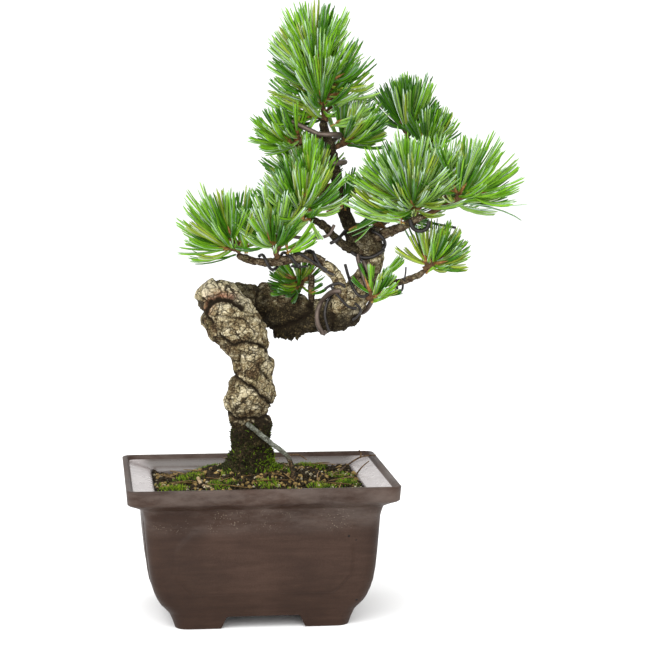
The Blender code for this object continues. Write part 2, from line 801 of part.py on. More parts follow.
def make_wires(limbs):
    """The training wire on the trunk, on the leader with its free end, and the thin one on the left bough."""
    brown = plain_material("brown_wire", (0.12, 0.08, 0.06), 0.45)
    dark = plain_material("dark_wire", (0.03, 0.03, 0.03), 0.4)
    rows = (
        ("wire_trunk", WIRE_TRUNK, WIRE_RADIUS, ("trunk_middle", "trunk_upper"), None, brown),
        ("wire_leader", WIRE_LEADER, WIRE_RADIUS, ("leader",), WIRE_FREE_END, brown),
        ("wire_left_bough", WIRE_LEFT_BOUGH, THIN_WIRE_RADIUS, ("bough_left",), None, dark),
    )
    wires = {}
    for name, route, radius, carriers, free_end, material in rows:
        line = wound_line(route, radius, [surface_tree(limbs[carrier]) for carrier in carriers])
        if free_end:
            line += [line[-1].lerp(Vector(free_end), share) for share in FREE_END_SHARES]
        wires[name] = limb(name, [(*place, radius) for place in line], WIRE_SIDES, material, steps=1)
    return wires


def make_masses(solids):
    """Every mass of needles, each clear of the limbs, of the masses made before it and of all other wood."""
    material = plain_material("needles", (0.1, 0.26, 0.06), 0.6)
    trees = {name: surface_tree(item) for name, item in solids.items()}
    fixed = list(trees.values())
    woods = {mass.name: wood_of(mass, trees[mass.limb]) for mass in MASSES}
    wood_trees = {name: [BVHTree.FromBMesh(piece) for piece in wood[0]] for name, wood in woods.items()}
    made = []
    for mass in MASSES:
        others = [tree for name, own in wood_trees.items() if name != mass.name for tree in own]
        whole = make_mass(mass, woods[mass.name], fixed + made + others, material)
        made.append(surface_tree(whole))


def settle():
    """Moves everything so that the origin is the middle of the underside of the bounding box."""
    bpy.context.view_layer.update()
    shown = [item for item in bpy.data.objects if not item.hide_render]
    corners = [item.matrix_world @ Vector(corner) for item in shown for corner in item.bound_box]
    low = Vector([min(corner[axis] for corner in corners) for axis in range(3)])
    high = Vector([max(corner[axis] for corner in corners) for axis in range(3)])
    shift = Vector((-(low.x + high.x) / 2, -(low.y + high.y) / 2, -low.z))
    for item in bpy.data.objects:
        item.location += shift


def main():
    """Builds the bonsai."""
    clear_scene()
    make_pot()
    make_soil()
    limbs = make_limbs()
    wires = make_wires(limbs)
    make_masses({**limbs, **wires})
    settle()


main()
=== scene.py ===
"""The looks of a japanese white pine bonsai: bark, needles, wire, moss, soil and clay, round a fixed frame.

Sizes are millimetres in the pot's own frame: X to the viewer's right, Y away from the viewer, Z up, and the
table at zero under the middle of the pot. Meshes are scaled to metres and moved to the frame when they are
made.
"""

import math
import random
from collections import namedtuple

import bpy
import numpy as np
from mathutils import Matrix, Vector, noise
from mathutils.bvhtree import BVHTree
from mathutils.kdtree import KDTree


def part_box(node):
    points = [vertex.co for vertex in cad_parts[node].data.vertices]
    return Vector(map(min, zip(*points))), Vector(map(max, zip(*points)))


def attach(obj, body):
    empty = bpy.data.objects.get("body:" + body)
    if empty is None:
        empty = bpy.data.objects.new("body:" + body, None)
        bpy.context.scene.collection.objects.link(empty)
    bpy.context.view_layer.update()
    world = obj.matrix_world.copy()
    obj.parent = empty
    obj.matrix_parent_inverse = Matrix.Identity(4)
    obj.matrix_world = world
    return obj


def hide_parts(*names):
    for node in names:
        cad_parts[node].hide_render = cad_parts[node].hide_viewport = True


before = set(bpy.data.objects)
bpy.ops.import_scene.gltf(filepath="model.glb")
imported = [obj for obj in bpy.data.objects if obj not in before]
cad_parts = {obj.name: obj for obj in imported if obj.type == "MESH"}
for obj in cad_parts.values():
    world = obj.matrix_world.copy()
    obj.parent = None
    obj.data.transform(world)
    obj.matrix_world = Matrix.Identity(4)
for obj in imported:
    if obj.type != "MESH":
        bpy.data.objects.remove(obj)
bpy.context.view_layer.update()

MM = 0.001
GAP = 0.3
SEED = 41
# Noise in three directions follows this seed. Without it, each run would bend the bark's cracks anew.
noise.seed_set(SEED)
FULL_TURN = 2 * math.pi
GOLDEN_ANGLE = math.pi * (3 - math.sqrt(5))
POT_LOW, POT_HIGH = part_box("pot")
POT_MIDDLE = Vector(((POT_LOW.x + POT_HIGH.x) / 2, (POT_LOW.y + POT_HIGH.y) / 2, 0))

CAMERA_AT = (-83.78, -991.14, 250.53)
CAMERA_AIM = (33.27, -4.02, 141.44)
CAMERA_ROLL = 0.14
CAMERA_LENS = 113.43
SENSOR_WIDTH = 36.0
PHOTO_SIDE = 650

POT_WIDTH = 130.0
POT_DEPTH = 103.0
POT_HEIGHT = 69.5
POT_WALL = 5.8
POT_CORNER = 6.5
RIM_CORNER = 5.0
RIM_OVERHANG = 8.4
WALL_TOP = 55.0
DEPTH_TAPER = 0.37
FOOT_HEIGHT = 6.0
FLOOR_TOP = 11.0
ARCH_WIDTH = 38.0
SIDE_ARCH_WIDTH = 30.0
ARCH_SLOPE = 3.0
BELOW_TABLE = 1.0

SOIL_SEAT = 69.7
SOIL_MIDDLE = (-3.0, 1.0)
SOIL_SEAT_RADIUS = 19.0
SOIL_SLOPE_LENGTH = 24.0
SOIL_EDGE = 65.4
SOIL_ROUGHNESS = 0.9
SOIL_LUMP_SCALE = 0.16
HOLLOW_MIDDLE = (-34.0, 30.0)
HOLLOW_RADIUS = 24.0
HOLLOW_DEPTH = 4.5
TRUNK_FOOT = SOIL_SEAT + GAP

SCAR_DEPTH = 0.05
SCAR_PITCH = 0.42
PLATE_DEPTH = 0.11
PLATE_SCALE = 0.2
DOME_HEIGHT = 0.75
EVENING_ROUNDS = 14
SHARP_ANGLE = math.radians(50)

NEEDLE_CLOSING = 0.85
NEEDLE_LENGTHS = (0.88, 1.0)
UPWARD = 0.15
SHOOT_LENGTHS = (0.85, 1.1)
STEM_RADIUS = 1.36
SHOOT_RADII = (1.25, 0.75)

# Height and inset from the rim's outer face, for each bend of the pot's outer wall
OUTER_WALL = (
    (0.0, 23.0), (4.0, 21.6), (7.5, 20.0), (9.0, 18.6), (12.0, 15.8), (14.5, 14.3), (18.0, 12.8),
    (22.0, 11.6), (28.0, 10.6), (36.0, 9.8), (46.0, 9.0), (55.0, 8.4), (58.6, 7.4), (60.3, 4.6),
    (61.8, 1.4), (62.6, 0.5), (68.6, 0.0),
)

# Depth below the pot's top, inset and corner radius, from the lip down the flange inside it
RIM_TOP = (
    (0.45, 0.12, 4.9), (0.1, 0.5, 4.6), (0.0, 1.2, 4.2), (0.1, 2.0, 3.8), (0.5, 2.6, 3.5),
    (1.4, 3.0, 3.2), (2.1, 3.5, 3.1), (2.4, 4.3, 3.0), (3.2, 8.0, 3.2), (4.0, 12.6, 3.5),
    (4.3, 13.5, 3.6),
)
CAVITY_HEIGHTS = (64.4, 62.0, 58.0, WALL_TOP, 36.0, 22.0, 15.0, FLOOR_TOP)
WASHED_RINGS = 5
# How far the flange's back turns to dark clay: partly bare clay, partly painted shade
BARE_AND_SHADED_BACK = 0.85

# Points are x, y, z and the limb's radius there
LIMBS = {
    "trunk_lower": (
        (-3, 1, TRUNK_FOOT, 15.5), (-3, 1, 74, 11.6), (-3, 0, 80, 9.9), (-3, 0, 92, 9.7),
        (-4, 0, 102, 11.6), (-2, 0, 110, 11.2), (-2, -1, 118, 9.8), (-3, -1, 128, 9.9),
        (-6, -2, 136, 11.8), (-11, -1, 142, 12.4), (-15.5, 1, 148, 12.6), (-17, 3, 154.5, 11.0),
    ),
    "trunk_middle": (
        (-14, 7, 150.5, 8.2), (-8, 15, 151, 8.8), (0, 20, 150.5, 9.4), (8, 21, 149, 10.6),
        (17, 17, 146, 11.6), (24, 10, 145, 9.6), (31, 3, 145.5, 8.0), (38, -4, 146.5, 8.6),
        (43.5, -6.5, 149, 8.6),
    ),
    "trunk_upper": (
        (40, -6, 149, 7.2), (46, -7, 154, 7.6), (50, -6, 160, 6.4), (55, -5, 168, 5.4),
        (57, -4, 175, 5.6), (54, -3, 182, 6.8), (48, 0, 186, 5.6),
    ),
    "leader": (
        (50, -1, 184, 3.6), (45, 3, 192, 3.3), (42, 3, 203, 3.0), (39, 0, 214, 2.8), (36, -3, 227, 2.5),
        (32, -4, 239, 2.1),
    ),
    "bough_left_rise": (
        (39, -11, 149, 3.4), (39.5, -14.5, 160, 3.3), (37, -14, 167, 3.1), (32, -13.2, 171.5, 2.9),
    ),
    "bough_left": (
        (31.2, -13, 172.0, 2.9), (25, -13, 175, 2.6), (17, -14, 175, 2.3), (8, -13, 173, 2.1),
        (-1, -12, 173.5, 1.9), (-9, -11, 176, 1.7),
    ),
    "bough_left_mid": (
        (53, -4, 177, 2.6), (44, -8, 179.5, 2.3), (38, -10, 184, 2.0), (31, -12, 191, 1.8),
        (25, -13, 194, 1.6),
    ),
    "bough_right_pad": (
        (55, -4, 183, 2.8), (64, -12, 187.5, 2.4), (71, -17, 191, 2.1), (77, -21, 195, 1.9),
    ),
    "bough_right_low": (
        (51, -4, 160, 2.6), (59, -7, 163, 2.1), (67, -12, 162.5, 1.8), (74, -15, 165, 1.6),
        (80, -16, 168, 1.4),
    ),
    "bough_back_right": ((42, 4, 203, 2.6), (52, 11, 209, 2.3), (64, 16, 219, 2.0), (77, 17, 231, 1.7)),
    "bough_back_left": ((43.5, 3, 195, 2.4), (39, 13, 201, 2.1), (31, 23, 206, 1.8)),
    "bough_back_low": ((53, -3, 183, 2.5), (58, 5, 187, 2.2), (67, 16, 192, 1.8)),
    "cut_stub": ((28, 7, 149, 1.7), (28, 9, 158, 1.7), (28, 9, 165, 1.6)),
    "grey_stick": (
        (-5.5, -10.2, 94.5, 1.2), (4.5, -15.4, 86.5, 1.2), (14, -20.5, 78.5, 1.2),
        (16.4, -22.9, 66.4, 1.3),
    ),
}

# Each wire's points are x, y and z on its limb's middle line, its least distance from there, and how many
# degrees it has turned round the limb
WIRE_TRUNK = (
    (32, 1, 145.5, 8.6, 110), (33, 0, 145.8, 8.6, 10), (34.5, -1, 146, 8.8, -90),
    (41, -6, 149, 9.0, -180), (48, -7, 156, 8.0, -265), (53, -5.5, 165, 6.6, -340),
    (55.6, -4.7, 170, 6.4, -400),
)
WIRE_LEADER = (
    (38.8, -0.2, 215.5, 5.0, 330), (37.5, -1.6, 221, 5.6, 18), (36.0, -2.8, 226.5, 6.4, -130),
    (34.3, -3.4, 231.5, 6.6, -262), (33.0, -3.8, 236, 6.6, -401),
)
WIRE_FREE_END = (16.5, -7.5, 240.5)
WIRE_LEFT_BOUGH = (
    (27, -13, 174.3, 4.0, 0), (17, -14, 175, 3.7, 330), (8, -13, 173, 3.5, 600),
    (0, -12, 173.4, 3.3, 860),
)

# One row for each mass of needles: the limb that bears it, where its stem ends, the way its middle shoot
# points, how many shoots, the share of the stem that bears them, degrees from the middle shoot to the
# outermost, length of a shoot and of a needle, and degrees from a shoot to the needles at its root
Mass = namedtuple("Mass", "name limb heart lean shoots along fan shoot needle spread")
MASSES = [Mass("needles_" + name, *sizes) for name, *sizes in (
    ("apex", "leader", (28.5, -3.5, 264.0), (-0.1, 0.0, 1.0), 12, 0.95, 62, 9, 28, 58),
    ("apex_right", "leader", (45, 1, 230.5), (0.9, -0.1, 0.6), 4, 0.5, 36, 4, 21, 50),
    ("upper_left", "leader", (17, -4, 229), (-0.9, 0.0, 0.55), 4, 0.4, 50, 4, 21, 57),
    ("centre", "leader", (26, -5, 205.5), (-0.05, -0.1, 1.0), 4, 0.2, 20, 6, 23, 32),
    ("left_mid", "bough_left_mid", (20, -14, 197), (-0.25, -0.1, 1.0), 6, 0.4, 70, 5, 24, 64),
    ("left_end", "bough_left", (-13, -11, 182), (-0.75, 0.0, 0.8), 6, 0.8, 62, 6, 27, 56),
    ("left_inner", "bough_left", (7, -17, 182), (-0.3, -0.1, 1.0), 5, 0.6, 58, 7, 23, 50),
    ("low_back", "trunk_middle", (24, 14, 161), (-1.0, 0.2, 0.15), 4, 0.4, 80, 3, 16, 66),
    ("right_pad", "bough_right_pad", (73, -22, 201), (-0.3, -0.1, 1.0), 8, 0.7, 72, 9, 28, 60),
    ("right_end", "bough_right_pad", (97, -24, 205), (0.75, -0.1, 0.8), 6, 0.35, 60, 7, 29, 58),
    ("back_right", "bough_back_right", (77, 17, 234), (0.0, 0.1, 1.0), 4, 0.5, 22, 6, 26, 34),
    ("back_end", "bough_back_right", (88, 11, 225), (0.3, -0.1, 1.0), 3, 0.3, 36, 4, 21, 48),
    ("right_low", "bough_right_low", (85, -16, 172), (0.6, 0.0, 0.8), 5, 0.6, 58, 4, 19, 56),
    ("low_tuft", "trunk_upper", (55, -14.4, 155), (0.8, -0.1, 0.7), 3, 0.3, 28, 2.5, 15, 44),
    ("back_left", "bough_back_left", (28, 27, 209), (-0.2, 0.5, 0.8), 4, 0.4, 62, 6, 24, 66),
    ("back_low", "bough_back_low", (71, 20, 195), (0.4, 0.6, 0.8), 4, 0.5, 62, 6, 24, 66),
)]
MASS_NAMES = [mass.name for mass in MASSES]

# Grooves that old wire left in the lower trunk: depth, half width, and the x and z of points along each.
# They go on round the back at the same heights.
GROOVES = (
    (2.3, 1.3, ((-16.5, 99.6), (-12.5, 97.1), (-8.6, 96.2), (-3.8, 96.9), (2.0, 96.2), (9.0, 98.0))),
    (2.2, 1.2, ((-15.4, 119.4), (-12.0, 117.0), (-8.6, 114.8), (-3.8, 112.2), (1.0, 109.0), (5.9, 104.1),
                (9, 101))),
    (2.3, 1.2, ((-19.5, 137.4), (-16.3, 134.9), (-13.4, 132.7), (-8.6, 134.7), (-1.8, 133.9), (3.9, 131.5),
                (8.3, 126.6))),
    (2.6, 1.5, ((-22.5, 143.4), (-26.3, 147.5), (-25.4, 150.0), (-23.0, 153.6), (-18.1, 155.3),
                (-12.4, 154.6), (-7.0, 151.0))),
)

# Shorter cracks on the trunk's front, in the same terms
FRONT_CRACKS = (
    (1.2, 0.6, ((-16.2, 147.6), (-8.5, 147.1), (-5.2, 143.7), (-1.0, 141.0))),
    (1.5, 0.6, ((-19.2, 149.4), (-20.9, 144.6))),
    (1.3, 0.7, ((-18.0, 143.0), (-18.9, 137.8))),
    (1.5, 0.8, ((-9.1, 130.0), (-9.1, 122.2), (-10.8, 117.0))),
    (1.4, 0.7, ((-11.0, 113.9), (-13.9, 108.5), (-14.9, 103.5), (-12.0, 100.0))),
    (1.2, 0.6, ((1.0, 109.0), (-2.5, 104.5), (-4.5, 99.0))),
    (1.0, 0.5, ((-3.0, 141.0), (2.5, 137.0))),
)

# Grooves round the middle trunk, in the same terms
MIDDLE_GROOVES = (
    (2.8, 1.6, ((28.0, 155.0), (26.1, 152.0), (24.6, 147.7), (20.2, 143.0), (14.4, 139.8), (9.5, 138.0))),
    (1.6, 1.2, ((3.0, 162.0), (1.0, 150.0), (3.0, 140.0))),
    (2.0, 1.4, ((36.5, 156.0), (35.5, 148.0), (36.5, 138.0))),
)


# Where a mix node of the colour kind has its two colours and its result
MIX_FIRST, MIX_SECOND, MIX_RESULT = 6, 7, 2


class Signal:
    """A number or a colour that varies over a surface. Numbers add, subtract and multiply as usual."""

    def __init__(self, finish, socket):
        self.finish = finish
        self.socket = socket

    def __add__(self, other):
        return self.finish.arithmetic("ADD", self, other)

    def __sub__(self, other):
        return self.finish.arithmetic("SUBTRACT", self, other)

    def __mul__(self, other):
        return self.finish.arithmetic("MULTIPLY", self, other)


class Finish:
    """One procedural material, built round its Principled shader."""

    def __init__(self, name, roughness, metallic=0.0, specular=0.5):
        self.material = bpy.data.materials.new(name)
        self.material.use_nodes = True
        self.tree = self.material.node_tree
        self.shader = self.tree.nodes["Principled BSDF"]
        self.feed(self.shader, {"Roughness": roughness, "Metallic": metallic,
                                "Specular IOR Level": specular})
        self.place = Signal(self, self.node("TexCoord").outputs["Object"])

    def feed(self, node, inputs):
        """Gives a node's inputs their signals and plain values."""
        for name, value in inputs.items():
            if isinstance(value, Signal):
                self.tree.links.new(value.socket, node.inputs[name])
            else:
                node.inputs[name].default_value = value

    def node(self, kind, inputs=()):
        """A new node of the material."""
        node = self.tree.nodes.new("ShaderNode" + kind)
        self.feed(node, dict(inputs))
        return node

    def stretched(self, x, y, z):
        """The place, stretched along the axes."""
        node = self.node("Mapping", {"Scale": (x, y, z), "Vector": self.place})
        return Signal(self, node.outputs["Vector"])

    def noise(self, scale, detail=4.0, roughness=0.55, place=None):
        """Soft noise from 0 to 1. Scale is lumps per metre."""
        node = self.node("TexNoise", {"Scale": scale, "Detail": detail, "Roughness": roughness,
                                      "Vector": place or self.place})
        return Signal(self, node.outputs["Fac"])

    def cells(self, scale, feature="F1", place=None):
        """Distance to the nearest of many scattered points, or to the edge between them."""
        node = self.node("TexVoronoi", {"Scale": scale, "Vector": place or self.place})
        node.feature = feature
        return Signal(self, node.outputs["Distance"])

    def tints(self, scale, place):
        """One random number for each of many scattered cells."""
        node = self.node("TexVoronoi", {"Scale": scale, "Vector": place})
        return Signal(self, node.outputs["Color"]) * 1.0

    def warped(self, scale, amount, stretch):
        """The place, stretched, and shifted by soft noise. Amount is in metres."""
        shift = self.node("TexNoise", {"Scale": scale, "Detail": 3.0, "Vector": self.place})
        node = self.node("VectorMath")
        node.operation = "MULTIPLY_ADD"
        shifts = Signal(self, shift.outputs["Color"])
        self.feed(node, {0: shifts, 1: (amount, amount, amount), 2: self.stretched(*stretch)})
        return Signal(self, node.outputs["Vector"])

    def height(self):
        """Height above the table, in metres."""
        return Signal(self, self.node("SeparateXYZ", {"Vector": self.place}).outputs["Z"])

    def mark(self, name):
        """A number that the mesh carries at each point."""
        node = self.node("Attribute")
        node.attribute_name = name
        return Signal(self, node.outputs["Fac"])

    def between(self, value, low, high, to_low=0.0, to_high=1.0):
        """A value mapped smoothly from one range to another."""
        node = self.node("MapRange", {"Value": value, "From Min": low, "From Max": high,
                                      "To Min": to_low, "To Max": to_high})
        node.interpolation_type = "SMOOTHSTEP"
        return Signal(self, node.outputs["Result"])

    def arithmetic(self, operation, first, second):
        """What an operation makes of two values, either of them a signal or a number."""
        node = self.node("Math", {0: first, 1: second})
        node.operation = operation
        return Signal(self, node.outputs["Value"])

    def ramp(self, factor, *stops):
        """A colour from a factor: each stop is a place from 0 to 1 and a colour."""
        node = self.node("ValToRGB", {"Fac": factor})
        while len(node.color_ramp.elements) < len(stops):
            node.color_ramp.elements.new(0.5)
        for element, (place, colour) in zip(node.color_ramp.elements, stops):
            element.position = place
            element.color = (*colour, 1.0)
        return Signal(self, node.outputs["Color"])

    def blend(self, factor, first, second):
        """Two colours mixed by a factor. Each is a signal or a plain colour."""
        node = self.node("Mix")
        node.data_type = "RGBA"
        colours = [value if isinstance(value, Signal) else (*value, 1.0) for value in (first, second)]
        self.feed(node, {"Factor": factor, MIX_FIRST: colours[0], MIX_SECOND: colours[1]})
        return Signal(self, node.outputs[MIX_RESULT])

    def colour(self, value):
        """Sets the base colour."""
        self.feed(self.shader, {"Base Color": value})

    def rough(self, value):
        """Sets a roughness that varies."""
        self.feed(self.shader, {"Roughness": value})

    def bump(self, height, distance, strength=1.0):
        """Fine relief. Distance is in metres."""
        node = self.node("Bump", {"Strength": strength, "Distance": distance, "Height": height})
        self.feed(self.shader, {"Normal": Signal(self, node.outputs["Normal"])})


def clay_finish():
    """Unglazed brown clay: fine grain and streaks, a lime haze under the rim, pits and pale specks."""
    finish = Finish("clay", 0.5, specular=0.16)
    broad = finish.noise(38.0, 5.0)
    grain = finish.noise(2600.0, 3.0, 0.7)
    streaks = finish.noise(420.0, 4.0, 0.6, finish.stretched(0.12, 0.12, 1.0))
    tone = broad * 0.6 + streaks * 0.4 + (grain - 0.5) * 0.5
    base = finish.ramp(tone, (0.3, (0.016, 0.0068, 0.0037)), (0.5, (0.025, 0.0118, 0.0068)),
                       (0.7, (0.039, 0.0205, 0.0135)))
    clouds = finish.noise(60.0, 6.0, 0.68, finish.stretched(0.5, 0.5, 1.4))
    height = finish.height()
    haze = finish.between(height, 0.044, 0.056) * finish.between(clouds, 0.34, 0.66)
    hazy = finish.blend(haze * 0.16, base, (0.3, 0.25, 0.22))
    band = finish.between(height, 0.046, 0.051) * finish.between(height, 0.061, 0.056)
    specks = finish.between(finish.cells(1000.0), 0.2, 0.1)
    patches = finish.between(finish.noise(60.0, 4.0), 0.44, 0.6)
    dotted = finish.blend(specks * patches * (band * 0.8), hazy, (0.28, 0.23, 0.17))
    pits = finish.between(finish.cells(85.0), 0.06, 0.035)
    finish.colour(finish.blend(pits, dotted, (0.006, 0.004, 0.003)))
    finish.rough(finish.between(broad, 0.3, 0.7, 0.44, 0.58))
    finish.bump(grain + streaks + pits * -3.0, 0.00015, 0.6)
    return finish.material


def flange_finish():
    """The clay inside the lip, polished by water, filmed with lime and paled by a painted reflection, with
    painted shade at the back.
    """
    finish = Finish("washed_clay", 0.24, specular=0.34)
    clouds = finish.noise(70.0, 6.0, 0.7, finish.stretched(0.6, 0.6, 1.8))
    drips = finish.noise(260.0, 5.0, 0.7, finish.stretched(1.0, 1.0, 0.3))
    # Pale lilac-grey film: partly lime, partly a painted reflection of the white surround.
    lime_film_and_reflection = finish.ramp(clouds, (0.3, (0.2, 0.172, 0.167)), (0.46, (0.29, 0.26, 0.255)),
                       (0.64, (0.37, 0.34, 0.335)))
    # Bare clay in drips, and at the back a dark patch that is partly bare clay and partly painted shade
    bare = finish.arithmetic("MAXIMUM", finish.between(drips, 0.52, 0.66, 0.0, 0.22), finish.mark("bare"))
    finish.colour(finish.blend(bare, lime_film_and_reflection, (0.035, 0.024, 0.016)))
    finish.rough(finish.between(clouds, 0.3, 0.7, 0.18, 0.34))
    finish.bump(drips, 0.00008, 0.4)
    return finish.material


def soil_finish():
    """Dark, moist, granular soil."""
    finish = Finish("soil", 0.95, specular=0.15)
    grains = finish.noise(900.0, 4.0)
    finish.colour(finish.ramp(grains, (0.36, (0.003, 0.002, 0.001)), (0.54, (0.011, 0.008, 0.003)),
                              (0.7, (0.036, 0.025, 0.01))))
    finish.bump(grains, 0.0006)
    return finish.material


def shade(colour, share):
    """A darker or lighter version of a colour."""
    return tuple(part * share for part in colour)


def bark_finish(name, colours, crack, damp_and_shade_colour, flake):
    """Flaking bark: every flake has its own tint, with thin dark cracks, mossy places and painted shade."""
    finish = Finish(name, 0.9, specular=0.1)
    speckle = finish.noise(1500.0, 6.0, 0.75)
    broad = finish.noise(120.0, 5.0, 0.65)
    lichen = finish.between(finish.noise(230.0, 5.0, 0.65), 0.54, 0.66)
    place = finish.warped(flake * 1.3, 0.45 / flake, (1.0, 1.0, 1.6))
    flakes = finish.tints(flake, place)
    scales = finish.tints(flake * 2.7, place)
    gape = finish.between(finish.noise(flake * 0.9, 2.0), 0.3, 0.48)
    seam = finish.between(finish.cells(flake, "DISTANCE_TO_EDGE", place), 0.07, 0.015)
    hairline = finish.between(finish.cells(flake * 2.7, "DISTANCE_TO_EDGE", place), 0.08, 0.02)
    fine_seams = finish.arithmetic("MAXIMUM", hairline * 0.5, seam * gape)
    tint = finish.mark("tint") * 0.72 + flakes * 0.18 + scales * 0.12
    tint = tint + (speckle - 0.5) * 1.9 + (broad - 0.5) * 0.7
    plates = finish.ramp(tint, *zip((0.12, 0.34, 0.5, 0.66, 0.88), colours))
    red = finish.blend(finish.mark("red"), plates, (0.21, 0.08, 0.045))
    green = finish.blend(lichen * 0.35, red, (0.13, 0.12, 0.045))
    # Dark mossy colour, also used as painted shade on the middle and upper trunk
    damp_and_shade_speckle = finish.ramp(speckle + scales * 0.16, (0.5, shade(damp_and_shade_colour, 0.12)),
                               (0.64, shade(damp_and_shade_colour, 0.8)), (0.78, shade(damp_and_shade_colour, 6)))
    damp = finish.blend(finish.mark("damp"), green, damp_and_shade_speckle)
    seamed = finish.blend(fine_seams * 0.85, damp, crack)
    # Dark cracks, and painted shade in the deeper grooves
    finish.colour(finish.blend(finish.mark("crack"), seamed, crack))
    finish.bump(flakes * 0.5 + scales * 0.2 + speckle * 0.6 + fine_seams * -0.3, 0.0005, 0.8)
    return finish.material


def wire_finish(name, colour, worn):
    """Coated aluminium wire, scuffed in places."""
    finish = Finish(name, 0.42, metallic=0.55)
    scuffs = finish.noise(420.0, 5.0, 0.65)
    finish.colour(finish.ramp(scuffs, (0.35, colour), (0.62, colour), (0.78, worn)))
    finish.rough(finish.between(scuffs, 0.3, 0.7, 0.36, 0.55))
    finish.bump(finish.noise(900.0, 3.0), 0.00008)
    return finish.material


def needle_finish(name, colour, lighter):
    """One face of the needles in one kind of spray."""
    finish = Finish(name, 0.45, specular=0.12)
    finish.colour(finish.ramp(finish.noise(140.0, 3.0), (0.36, colour), (0.64, lighter)))
    finish.bump(finish.noise(2500.0, 2.0), 0.00003)
    return finish.material


def rough_finish(name, dark, light, scale=900.0, roughness=0.85):
    """A mottled rough surface, for grains, buds and litter."""
    finish = Finish(name, roughness, specular=0.12)
    mottle = finish.noise(scale, 4.0, 0.6)
    finish.colour(finish.ramp(mottle, (0.34, dark), (0.66, light)))
    finish.bump(mottle, 0.0002)
    return finish.material


def scene_object(name, data):
    """A new object in the scene, made of a mesh, a camera or a lamp."""
    item = bpy.data.objects.new(name, data)
    bpy.context.scene.collection.objects.link(item)
    return item


def mesh_piece(name, points, faces, materials, marks=None, face_materials=None, smooth=True):
    """An object whose mesh has these points, in millimetres round the pot, and these triangles."""
    mesh = bpy.data.meshes.new(name)
    points = np.asarray(points, dtype=np.float64) * MM + np.array(POT_MIDDLE)
    faces = np.asarray(faces, dtype=np.int32)
    mesh.vertices.add(len(points))
    mesh.vertices.foreach_set("co", points.astype(np.float32).ravel())
    mesh.loops.add(faces.size)
    mesh.loops.foreach_set("vertex_index", faces.ravel())
    mesh.polygons.add(len(faces))
    mesh.polygons.foreach_set("loop_start", np.arange(0, faces.size, faces.shape[1], dtype=np.int32))
    for material in materials:
        mesh.materials.append(material)
    if face_materials is not None:
        mesh.polygons.foreach_set("material_index", np.asarray(face_materials, dtype=np.int32))
    mesh.update(calc_edges=True)
    if smooth:
        mesh.shade_smooth()
    else:
        mesh.shade_flat()
    for mark, values in (marks or {}).items():
        attribute = mesh.attributes.new(mark, "FLOAT", "POINT")
        attribute.data.foreach_set("value", np.asarray(values, dtype=np.float32))
    return scene_object(name, mesh)


def belongs(item, slot, *nodes):
    """Makes a piece part of the bonsai: it rides on the one body and may stand for nodes, which it hides.
    The slot is not used.
    """
    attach(item, "root")
    if nodes:
        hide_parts(*nodes)


def tube_faces(rings, sides, first=0):
    """Triangles between rings of points, with a fan over each end that meets one more point there."""
    faces = []
    for ring in range(rings - 1):
        for side in range(sides):
            after = (side + 1) % sides
            low = first + ring * sides
            high = low + sides
            faces.append((low + side, low + after, high + after))
            faces.append((low + side, high + after, high + side))
    start = first + rings * sides
    last = first + (rings - 1) * sides
    for side in range(sides):
        after = (side + 1) % sides
        faces.append((first + after, first + side, start))
        faces.append((last + side, last + after, start + 1))
    return faces


def ring_ways(side, across, sides):
    """The turn and the outward direction of each corner of a ring."""
    for number in range(sides):
        turn = FULL_TURN * number / sides
        yield turn, side * math.cos(turn) + across * math.sin(turn)


def tube_points(frames, sides, roughness=0.0):
    """The points of a tube round its frames, roughened by soft noise, and the middles of its ends."""
    points = []
    for place, radius, _, side, across in frames:
        for _, out in ring_ways(side, across, sides):
            rough = 1 + roughness * noise.noise((place + out * radius) * 1.1)
            points.append(place + out * radius * rough)
    return points + [frames[0][0], frames[-1][0]]


def on_curve(t, before, start, end, after):
    """One value of a Catmull-Rom curve, at a share t of the way from its start to its end."""
    pull = (end - before) * t
    bend = (2 * before - 5 * start + 4 * end - after) * t ** 2
    ease = (3 * start - before - 3 * end + after) * t ** 3
    return start + (pull + bend + ease) / 2


def camera_turn():
    """The camera's rotation."""
    forward = Vector(CAMERA_AIM) - Vector(CAMERA_AT)
    level = forward.to_track_quat("-Z", "Y").to_matrix()
    return level @ Matrix.Rotation(math.radians(CAMERA_ROLL), 3, "Z")


def sight(spot):
    """The way from the camera through one spot of the photograph."""
    across, down = spot
    back = -CAMERA_LENS * PHOTO_SIDE / SENSOR_WIDTH
    ray = Vector((across - PHOTO_SIDE / 2, PHOTO_SIDE / 2 - down, back))
    return (camera_turn() @ ray).normalized()


def at_depth(spot, depth):
    """The place that is seen at a spot of the photograph and lies at a depth behind the pot's middle."""
    start, way = Vector(CAMERA_AT), sight(spot)
    return start + way * (depth - start.y) / way.y


def smooth_route(points, steps):
    """Points on a smooth curve through a limb's own points, radius included."""
    ends = (points[0], *points, points[-1])
    route = []
    for first, start, end, last in zip(ends, ends[1:], ends[2:], ends[3:]):
        for step in range(steps):
            t = step / steps
            route.append(tuple(on_curve(t, *values) for values in zip(first, start, end, last)))
    route.append(tuple(points[-1]))
    return route


def frames_along(route):
    """For each point of a route, its place, radius, direction and two directions across."""
    places = [Vector(point[:3]) for point in route]
    side = Vector((0, -1, 0))
    frames = []
    for index, place in enumerate(places):
        before = places[max(0, index - 1)]
        after = places[min(len(places) - 1, index + 1)]
        forward = (after - before).normalized()
        side = (side - forward * side.dot(forward)).normalized()
        frames.append((place, route[index][3], forward, side, forward.cross(side)))
    return frames


def old_swellings(place, turn, height):
    """How far bark plates and old wire scars lift the trunk's surface, as a share of its radius."""
    scar = math.sin(turn - height * SCAR_PITCH)
    plates = noise.noise(place * PLATE_SCALE)
    return SCAR_DEPTH * scar + PLATE_DEPTH * plates


def step_up(value, low, high):
    """0 below a range, 1 above it, and a smooth step between."""
    share = min(1.0, max(0.0, (value - low) / (high - low)))
    return share * share * (3 - 2 * share)


